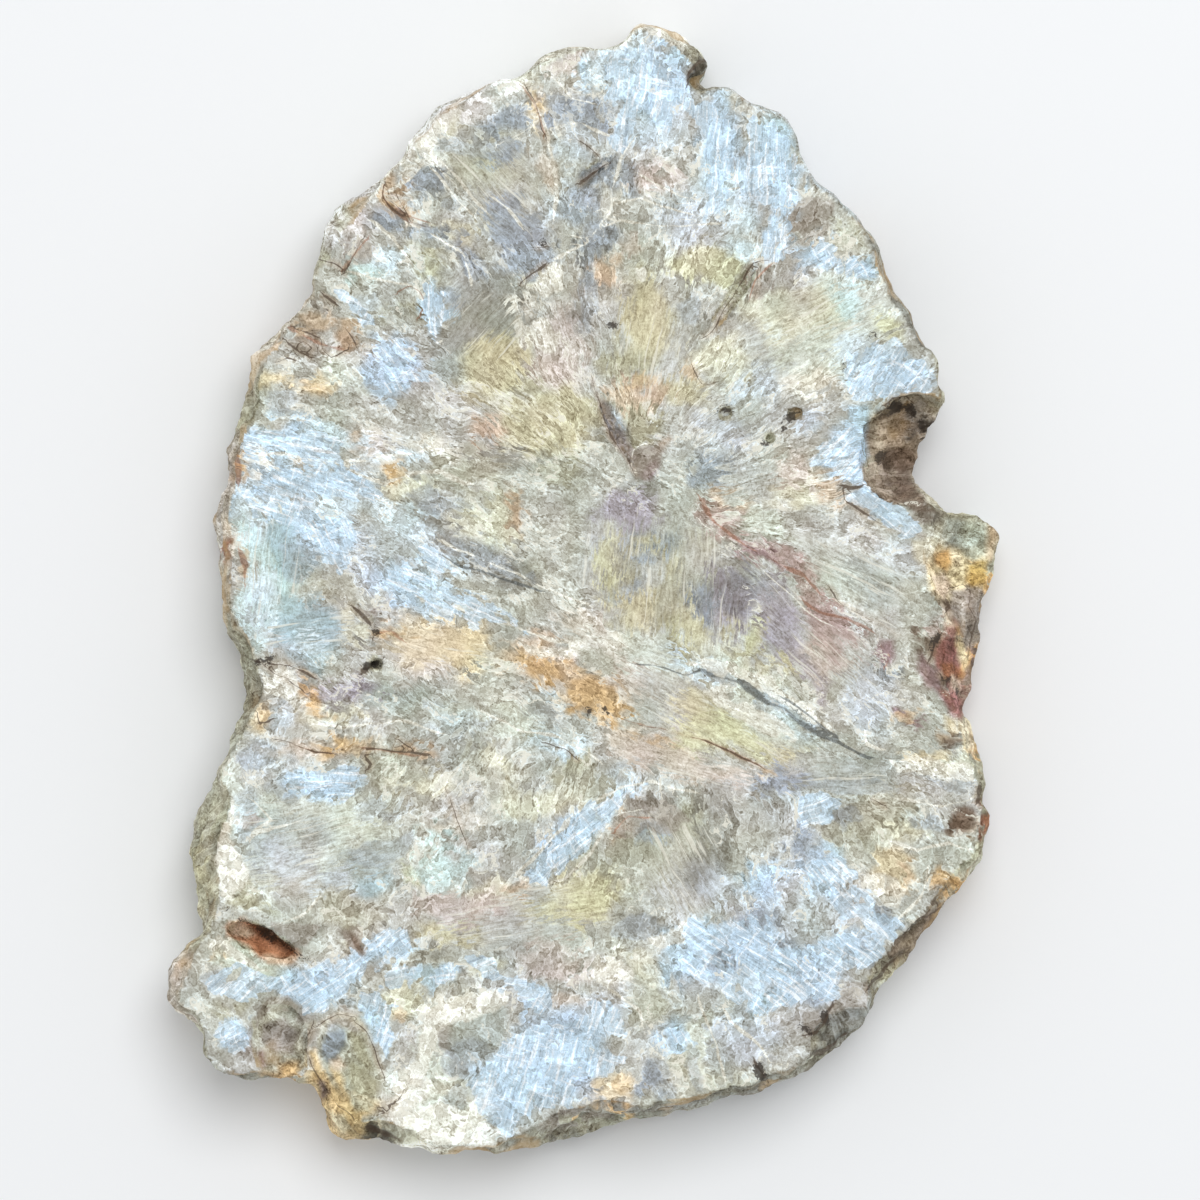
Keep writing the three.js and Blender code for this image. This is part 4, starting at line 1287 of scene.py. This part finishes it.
ragged_edge, given, result = new_group("ragged_edge", ("Field", "Noise", "Reach", "Softness"))
swing = calc(ragged_edge, "MULTIPLY", calc(ragged_edge, "SUBTRACT", given["Noise"], 0.5), given["Reach"])
inner = calc(ragged_edge, "MULTIPLY", given["Softness"], -1)
border = remap(ragged_edge, calc(ragged_edge, "ADD", given["Field"], swing), inner, given["Softness"])
ragged_edge.links.new(border, result["Mask"])

fine_line, given, result = new_group("fine_line", ("Side", "Distance", "Noise", "Reach"))
swing = calc(fine_line, "MULTIPLY", calc(fine_line, "SUBTRACT", given["Noise"], 0.5), given["Reach"])
width = calc(fine_line, "ADD", calc(fine_line, "ABSOLUTE", given["Side"]), swing)
core = remap(fine_line, width, *LINE_CORE)
kept = remap(fine_line, given["Distance"], *LINE_END_FADE)
fine_line.links.new(calc(fine_line, "MULTIPLY", core, kept), result["Mask"])
print("groups:", ragged_edge.name, fine_line.name)

# %% [markdown]
# ## Flakes
# Under the saw, the stone broke into tiny flakes. Each has a lit edge on one side and a dark
# gap on the other, both painted: a painted highlight and a painted shade. A ramp of shades
# over a noise gives that: its two halves are a paler and a darker flake, and the narrow
# bright and dark stops between them, the painted highlight and shade, follow the border. Real
# flakes in the mesh would need many millions of triangles.

# %% Flake group
# Place on the ramp, and how light it is there. The dark stop is painted shade and the bright stop a
# painted highlight
FLAKE_STOPS = (
    (0.0, 0.44), (0.43, 0.44), (0.475, 0.33), (0.495, 0.50),
    (0.515, 0.82), (0.545, 0.62), (0.6, 0.56), (1.0, 0.52),
)

flake, given, result = new_group("flake", ("Noise", "Depth"))
ramp = flake.nodes.new("ShaderNodeValToRGB")
while len(ramp.color_ramp.elements) < len(FLAKE_STOPS):
    ramp.color_ramp.elements.new(0.5)
for stop, (position, level) in zip(ramp.color_ramp.elements, FLAKE_STOPS):
    stop.position = position
    stop.color = (level, level, level, 1)
flake.links.new(given["Noise"], ramp.inputs[0])
swing = calc(flake, "MULTIPLY", calc(flake, "SUBTRACT", ramp.outputs[0], 0.5), given["Depth"])
flake.links.new(calc(flake, "ADD", swing, 0.5), result["Mask"])
print("group:", flake.name)

# %% [markdown]
# ## The stone
# The material starts from the painted washes and lays the marks over them in the order in
# which they came to be: grain and cells first, then veins and stains, then what the saw did,
# then cracks, and last the rind. The noises first need places to read: some follow the rays
# of the wood, some the straight bundle, so that streaks run as the fibres do.

# %% Places that the noises read
PITH = (7.0, 16.8, 0)  # the pith's place on the stone, in millimetres
RING = 50  # millimetres from the pith at which rays have their true width
SWAY = 6  # millimetres by which a slow noise bends all finer patterns
BUNDLE_FALL = np.radians(28)  # the straight fibres in the middle fall to the right
UPRIGHT_SHARE = 0.7  # stretch through the thickness, as a share of that along the rays

petrified = bpy.data.materials.new("petrified_wood")
petrified.use_nodes = True
tree = petrified.node_tree
shader = tree.nodes["Principled BSDF"]


def vector(operation, first, second=(0, 0, 0), third=(0, 0, 0), output=0):
    """Arithmetic with places."""
    return add(tree, "ShaderNodeVectorMath", {0: first, 1: second, 2: third}, output, operation=operation)


metres = add(tree, "ShaderNodeTexCoord", {}, "Object")
place = vector("MULTIPLY", metres, (MILLIMETRES, MILLIMETRES, MILLIMETRES))
tints = grains(tree, place, scale=0.08, detail=2, roughness=0.6, output=1)
sway = vector("SUBTRACT", tints, (0.5, 0.5, 0.5))
bent = vector("MULTIPLY_ADD", sway, (SWAY, SWAY, SWAY), place)
spoke = vector("MULTIPLY", vector("SUBTRACT", bent, PITH), (1, 1, 0))
radius = vector("LENGTH", spoke, output="Value")
ring = vector("MULTIPLY", vector("NORMALIZE", spoke), (RING, RING, 0))
height = add(tree, "ShaderNodeSeparateXYZ", {0: place}, "Z")


def along_rays(radial, upright):
    """A place that is stretched along the rays, and along the grain through the thickness."""
    outwards = calc(tree, "MULTIPLY", radius, radial)
    run = calc(tree, "ADD", outwards, calc(tree, "MULTIPLY", height, upright))
    return vector("ADD", ring, add(tree, "ShaderNodeCombineXYZ", {"Z": run}))


turn = {"Vector": bent, "Angle": BUNDLE_FALL}
turned = add(tree, "ShaderNodeVectorRotate", turn, rotation_type="Z_AXIS")


def along_bundle(stretch):
    """A place that is stretched along the straight bundle."""
    return vector("MULTIPLY", turned, (stretch, 1, 1))


def along_fibres(scale, detail, roughness, stretch):
    """Noise that is stretched along the fibres, whichever way they run."""
    rays = along_rays(stretch, UPRIGHT_SHARE * stretch)
    spokes = grains(tree, rays, scale, detail, roughness)
    bundle = grains(tree, along_bundle(stretch), scale, detail, roughness, flat=True)
    return mix(tree, read(tree, "straight"), spokes, bundle)


print("pith at", PITH)

# %% [markdown]
# ## Four noises
# Broad mottling, ragged streaks, small chips and fine squiggles: all patterns of the stone
# are made of these four. Each mark could have a noise of its own. Sharing them makes marks
# of different kinds break along the same borders, as they do in real stone.

# %% Noises
mottle = grains(tree, place, scale=0.17, detail=5, roughness=0.8)
ragged = along_fibres(scale=0.22, detail=4, roughness=0.6, stretch=0.6)
chips = along_fibres(scale=0.75, detail=2, roughness=0.6, stretch=0.42)
squiggle = grains(tree, place, scale=1.35, detail=1, roughness=0.5, distortion=1.2, flat=True)
print("nodes for the noises:", len(tree.nodes))

# %% [markdown]
# ## Grain of the face
# Flakes of two sizes, mottling and squiggles add up to one number for each place, which
# darkens or lightens every colour that is laid below; the painted highlights and shade of the
# flakes are in it. A bump could shade the flakes instead, but under soft light from above a
# bump hardly shows.

# %% Grain of the face
MOTTLE_RANGE = (0.38, 0.6)  # from the calm to the lively parts of the mottling
FLAKE_DEPTHS = (0.5, 1.3)  # how deep the flakes are in either
GRAIN_RANGE = (1.2, 2.6)  # the sum of all noises, at its darkest and its lightest
GRAIN_SHADES = (0.1, 1.9)  # what a colour is then multiplied by


def weighted(*parts):
    """A sum of values, each multiplied by its weight."""
    total = 0.0
    for value, weight in parts:
        total = calc(tree, "ADD", calc(tree, "MULTIPLY", value, weight), total)
    return total


def edge(name, reach, softness, noise_field=ragged):
    """The mask of a drawn field, with a border that swings by a reach in pixels."""
    inputs = {
        "Field": read(tree, name),
        "Noise": noise_field,
        "Reach": reach,
        "Softness": softness,
    }
    return add(tree, "ShaderNodeGroup", inputs, node_tree=ragged_edge)


flake_depth = remap(tree, mottle, *MOTTLE_RANGE, *FLAKE_DEPTHS)


def flaked(noise_field):
    """A noise broken into flakes."""
    inputs = {"Noise": noise_field, "Depth": flake_depth}
    return add(tree, "ShaderNodeGroup", inputs, node_tree=flake)


grain = weighted((flaked(ragged), 1.0), (flaked(chips), 1.1), (mottle, 0.8), (squiggle, 0.8))
grain = remap(tree, grain, *GRAIN_RANGE, *GRAIN_SHADES, smooth=False)
print("nodes so far:", len(tree.nodes))

# %% [markdown]
# ## Brushed zones
# Where the saw ran smoothly, the flakes give way to fine strokes in one direction. They are
# noises that are squeezed across the strokes and drawn out along them. Scratches in the mesh
# would be far finer than its points.

# %% Brushed zones
STROKE_SWAY = 14  # pixels by which a slow noise bends the strokes
BRUSHED_SHARE = 0.75  # how much of the flakes the brushing takes away
BRUSHED_RANGE = (0.85, 1.85)  # the sum of the brushed noises, at its darkest and its lightest
BRUSHED_SHADES = (0.25, 1.75)


def stroke_places(name):
    """The places along and across drawn strokes, bent a little."""
    return vector("MULTIPLY_ADD", tints, (STROKE_SWAY, STROKE_SWAY, 0), read(tree, name, "Vector"))


def strokes_of(places, along, across, detail, roughness=0.7, distortion=0.5):
    """Noise in strokes, from the noise cells that one pixel is along and across them."""
    squeezed = vector("MULTIPLY", places, (along, across, 1))
    return grains(tree, squeezed, 1.0, detail, roughness, distortion, flat=True)


calm_mask = edge("calm", reach=50, softness=7)
brush_places = stroke_places("brush")
brushed = strokes_of(brush_places, along=0.07, across=0.33, detail=2)
streaks = strokes_of(brush_places, along=0.025, across=0.11, detail=3)
hairs = strokes_of(brush_places, along=0.01, across=0.22, detail=2)
brushed_grain = weighted((brushed, 1.0), (mottle, 0.7), (squiggle, 0.5), (streaks, 0.5))
brushed_grain = remap(tree, brushed_grain, *BRUSHED_RANGE, *BRUSHED_SHADES, smooth=False)
grain = mix(tree, calc(tree, "MULTIPLY", calm_mask, BRUSHED_SHARE), grain, brushed_grain)
print("nodes so far:", len(tree.nodes))

# %% [markdown]
# ## Tone of the face
# The noises pick one of the three painted coats for each flake, and a slow noise shifts the
# hue a little. The grain then multiplies the tone. Its red, green and blue have slightly
# different strengths, so that dark grain and the painted shade in the gaps turn brown, and
# bright grain and the painted highlights on the edges turn bluish.

# %% Tone of the face
SHADE_POWERS = (0.9, 1.0, 1.15)  # how strongly a shade acts on red, green and blue
SECOND_COAT = (0.47, 0.53)  # where in the chips the second coat starts and is full
THIRD_COAT = (0.51, 0.54)  # the same in the ragged streaks for the third
HUE_SPAN = (0.2, 0.1, 0.3)  # how far the slow noise shifts red, green and blue
HUE_LOW = (0.9, 0.95, 0.85)  # where those shifts start


def warm_shade(value):
    """A shade that is brown where it is dark and bluish where it is bright."""
    powers = [calc(tree, "POWER", value, power) for power in SHADE_POWERS]
    return add(tree, "ShaderNodeCombineXYZ", dict(enumerate(powers)))


grain = warm_shade(grain)
flake_choice = remap(tree, mix(tree, calm_mask, chips, streaks), *SECOND_COAT)
stone_tone = mix(tree, flake_choice, read(tree, "tone", "Color"), read(tree, "tone_second", "Color"))
flake_choice = remap(tree, mix(tree, calm_mask, ragged, brushed), *THIRD_COAT)
stone_tone = mix(tree, flake_choice, stone_tone, read(tree, "tone_third", "Color"))
hue = vector("MULTIPLY_ADD", tints, HUE_SPAN, HUE_LOW)
stone_tone = mix(tree, 1.0, stone_tone, hue, "MULTIPLY")
face = mix(tree, 1.0, stone_tone, grain, "MULTIPLY")
print("nodes so far:", len(tree.nodes))

# %% [markdown]
# ## Cream seeps and hairlines
# Between the flakes, thin cream seams run in and out. They lie where the ragged noise is near
# one level, as a contour line on a map does, so they follow the flakes without being drawn.
# Brushed zones have fine pale hairlines instead.

# %% Cream seeps and hairlines
SEEP_LEVEL = 0.56  # where in the ragged noise the seams lie
SEEP_WIDTH = 0.035  # half of their greatest width, in steps of that noise
SEEP_LOSS = 0.03  # how much narrower they are in brushed zones
SEEP_ZONES = (0.46, 0.62)  # where in the mottling the seams start and are widest
SEEP_EDGE = 0.008  # how soft their borders are
SEEP_STRENGTH = 0.7
HAIR_RANGE = (0.62, 0.7)  # where in the hairs a hairline starts and is full
HAIR_STRENGTH = 0.55

seep_width = remap(tree, mottle, *SEEP_ZONES, 0.0, SEEP_WIDTH, smooth=False)
off_level = calc(tree, "ABSOLUTE", calc(tree, "SUBTRACT", ragged, SEEP_LEVEL))
seep = calc(tree, "SUBTRACT", seep_width, off_level)
seep = calc(tree, "SUBTRACT", seep, calc(tree, "MULTIPLY", calm_mask, SEEP_LOSS))
seep = calc(tree, "SUBTRACT", seep, edge("clear", reach=0, softness=3))
face = mix(tree, remap(tree, seep, 0.0, SEEP_EDGE, 0, SEEP_STRENGTH), face, colour("cream"))
hairline = calc(tree, "MULTIPLY", remap(tree, hairs, *HAIR_RANGE, 0, HAIR_STRENGTH), calm_mask)
face = mix(tree, hairline, face, colour("cream"))
print("nodes so far:", len(tree.nodes))

# %% [markdown]
# ## Cells, veins and stains
# The drawn patches and lines come next, each as a share of its own colour over what is there.
# The grain goes on through them, as it does in the stone. Opaque paint would look like a
# sticker.

# %% Cells, veins and stains


def stained(name):
    """A colour of the palette with the grain showing through."""
    return mix(tree, 1.0, colour(name), grain, "MULTIPLY")


def lay_over(under, share, strength, over):
    """One colour over another, where a mask is, at some strength."""
    return mix(tree, calc(tree, "MULTIPLY", share, strength), under, over)


def stripe(name, reach):
    """The mask of drawn lines."""
    inputs = {
        "Side": read(tree, name + "_side"),
        "Distance": read(tree, name),
        "Noise": ragged,
        "Reach": reach,
    }
    return add(tree, "ShaderNodeGroup", inputs, node_tree=fine_line)


STAINS = (
    # mask with the reach and softness of its border in pixels, strength, colour
    (edge("slate", 24, 2), 0.4, "steel"),
    (edge("rust", 20, 3, chips), 0.5, "ochre"),
    (edge("brown", 12, 1.5), 0.6, "brown"),
    (edge("cream", 30, 2), 0.6, "cream"),
    (stripe("vein", 6), 0.7, "cream"),
    (stripe("seam", 5), 0.6, "rust"),
    (stripe("grey", 4), 0.8, "graphite"),
)
for mask, strength, name in STAINS:
    face = lay_over(face, mask, strength, stained(name))
print("kinds of stains:", len(STAINS))

# %% [markdown]
# ## Saw scuffs
# In a scuff the saw left a pale blue bloom with white scratches and grey gaps, and a few
# scratches cross the others. They are strokes again. Small chips break through the bloom, so
# that a scuff isn't a flat patch of colour.

# %% Saw scuffs
SCUFF_LINE = (*linear(242, 248, 252), 1)
SCUFF_GAP = (*linear(150, 166, 178), 1)
BARE_SHARE = 0.35  # how much of the stone's own tone shows through the bloom
SCUFF_GRAIN = 0.65  # how much of the grain shows through it
SCUFF_STRENGTH = 0.9
WORN_RANGE = (0.4, 0.36)  # where in the chips the bloom starts to break and is gone

scuff_places = stroke_places("stroke")
scratch = strokes_of(scuff_places, 0.02, 0.23, detail=4, roughness=0.75, distortion=0.1)
crossing = strokes_of(scuff_places, 0.19, 0.014, detail=4, roughness=0.75, distortion=0.1)
SCRATCHES = (
    # noise, where in it a scratch starts and is full, strength, colour
    (scratch, 0.46, 0.3, 0.85, SCUFF_GAP),
    (scratch, 0.52, 0.64, 0.9, SCUFF_LINE),
    (crossing, 0.58, 0.68, 0.7, SCUFF_LINE),
)
scuffed = mix(tree, BARE_SHARE, colour("sky"), stone_tone)
for pattern, start, full, strength, tone in SCRATCHES:
    scuffed = mix(tree, remap(tree, pattern, start, full, 0, strength), scuffed, tone)
scuffed = mix(tree, SCUFF_GRAIN, scuffed, grain, "MULTIPLY")
scuff_border = weighted((ragged, 0.6), (chips, 0.4))
worn_through = remap(tree, chips, *WORN_RANGE)
bloom = edge("scuff", reach=55, softness=1.5, noise_field=scuff_border)
scuff_mask = calc(tree, "SUBTRACT", bloom, worn_through)
scuff_mask = remap(tree, scuff_mask, 0, 1, 0, SCUFF_STRENGTH)
face = mix(tree, scuff_mask, face, scuffed)
print("nodes so far:", len(tree.nodes))

# %% [markdown]
# ## Cracks and holes
# Cracks are dark lines with a tan halo where dirt got in. Holes and crevices are painted nearly
# black, as painted shade, and so is a thin line along the slot's upper wall. The mesh has its
# dents there already, and the colour makes them readable under soft light.

# %% Cracks and holes
HALO_SWING = 12  # pixels by which the ragged noise moves the halo's border
HALO_RANGE = (12, 6)  # pixels from the crack at which the halo starts and is full
HALO_STRENGTH = 0.3
CRACK_STRENGTH = 0.8
HOLE_STRENGTH = 0.9

crack_line = stripe("crack", reach=6)
halo_border = calc(tree, "MULTIPLY", ragged, HALO_SWING)
halo = remap(tree, calc(tree, "ADD", read(tree, "crack"), halo_border), *HALO_RANGE)
face = lay_over(face, halo, HALO_STRENGTH, stained("tan"))
face = lay_over(face, crack_line, CRACK_STRENGTH, colour("crack"))
# Holes and crevices are painted dark, as painted shade
hole_shade = edge("dark", reach=9, softness=0.8, noise_field=squiggle)
face = lay_over(face, hole_shade, HOLE_STRENGTH, colour("dark"))
print("nodes so far:", len(tree.nodes))

# %% [markdown]
# ## Rind
# On the rind the painted tone gets painted shade in its dents and painted light on its lumps,
# with a coarser grain and ochre where iron stained it. The relief was kept as an attribute for
# this, because soft light alone leaves small dents too pale.

# %% Rind
DENT_RANGE = (-0.9, 0.5)  # millimetres of relief, from the deepest dents to the highest lumps
# The tone gets painted shade in the dents and painted light on the lumps
DENT_SHADES = (0.45, 1.2)  # what the tone is multiplied by there
RIND_RANGE = (2.0, 3.2)  # the sum of the rind's noises, at its darkest and its lightest
RIND_SHADES = (0.12, 1.88)
IRON_RANGE = (0.55, 0.68)  # where in the slow noise the iron starts and is full
IRON_STRENGTH = 0.5
RIND_HOLE_STRENGTH = 0.85
RIND_CRACK_STRENGTH = 0.7
RIND_SWING = 0.5  # how much of the ragged noise breaks the border of the rind
RIND_BORDER = (0.6, 0.85)  # where the rind starts and is full

warm = add(tree, "ShaderNodeSeparateColor", {0: tints}, 0)
dent_shade = remap(tree, read(tree, "relief"), *DENT_RANGE, *DENT_SHADES, smooth=False)
rind = mix(tree, 1.0, stone_tone, dent_shade, "MULTIPLY")
rind_grain = weighted((flaked(ragged), 0.9), (flaked(chips), 1.1), (mottle, 2.2), (squiggle, 1.0))
rind_grain = remap(tree, rind_grain, *RIND_RANGE, *RIND_SHADES, smooth=False)
rind = mix(tree, 1.0, rind, warm_shade(rind_grain), "MULTIPLY")
rind = mix(tree, remap(tree, warm, *IRON_RANGE, 0, IRON_STRENGTH), rind, colour("ochre"))
rind = lay_over(rind, hole_shade, RIND_HOLE_STRENGTH, colour("dark"))
rind = lay_over(rind, crack_line, RIND_CRACK_STRENGTH, colour("crack"))
rind_edge = calc(tree, "ADD", read(tree, "rind"), calc(tree, "MULTIPLY", ragged, RIND_SWING))
surface = mix(tree, remap(tree, rind_edge, *RIND_BORDER), face, rind)
tree.links.new(surface, shader.inputs["Base Color"])
print("nodes so far:", len(tree.nodes))

# %% [markdown]
# ## Roughness and fine bumps
# Sawn stone that isn't polished is matte, and the scuffs shine a little more. A fine bump
# catches the light on grains that are smaller than the mesh.

# %% Roughness and fine bumps
STONE_ROUGHNESS = 0.88
SCUFF_ROUGHNESS = 0.7
STONE_GLOSS = 0.25
BUMP_STRENGTH = 0.4
BUMP_DEPTH = 0.0008
FINE_SHARE = 0.25  # how much the fine squiggles add to the broad mottling

roughness = remap(tree, scuff_mask, 0, 1, STONE_ROUGHNESS, SCUFF_ROUGHNESS)
tree.links.new(roughness, shader.inputs["Roughness"])
shader.inputs["Specular IOR Level"].default_value = STONE_GLOSS
bumps = calc(tree, "ADD", mottle, calc(tree, "MULTIPLY", squiggle, FINE_SHARE))
bump_inputs = {"Strength": BUMP_STRENGTH, "Distance": BUMP_DEPTH, "Height": bumps}
normal = add(tree, "ShaderNodeBump", bump_inputs)
tree.links.new(normal, shader.inputs["Normal"])
stone.data.materials.append(petrified)
print("nodes:", len(tree.nodes))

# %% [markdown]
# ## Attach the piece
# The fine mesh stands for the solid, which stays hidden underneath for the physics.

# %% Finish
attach(stone, "root")
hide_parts(NODE)
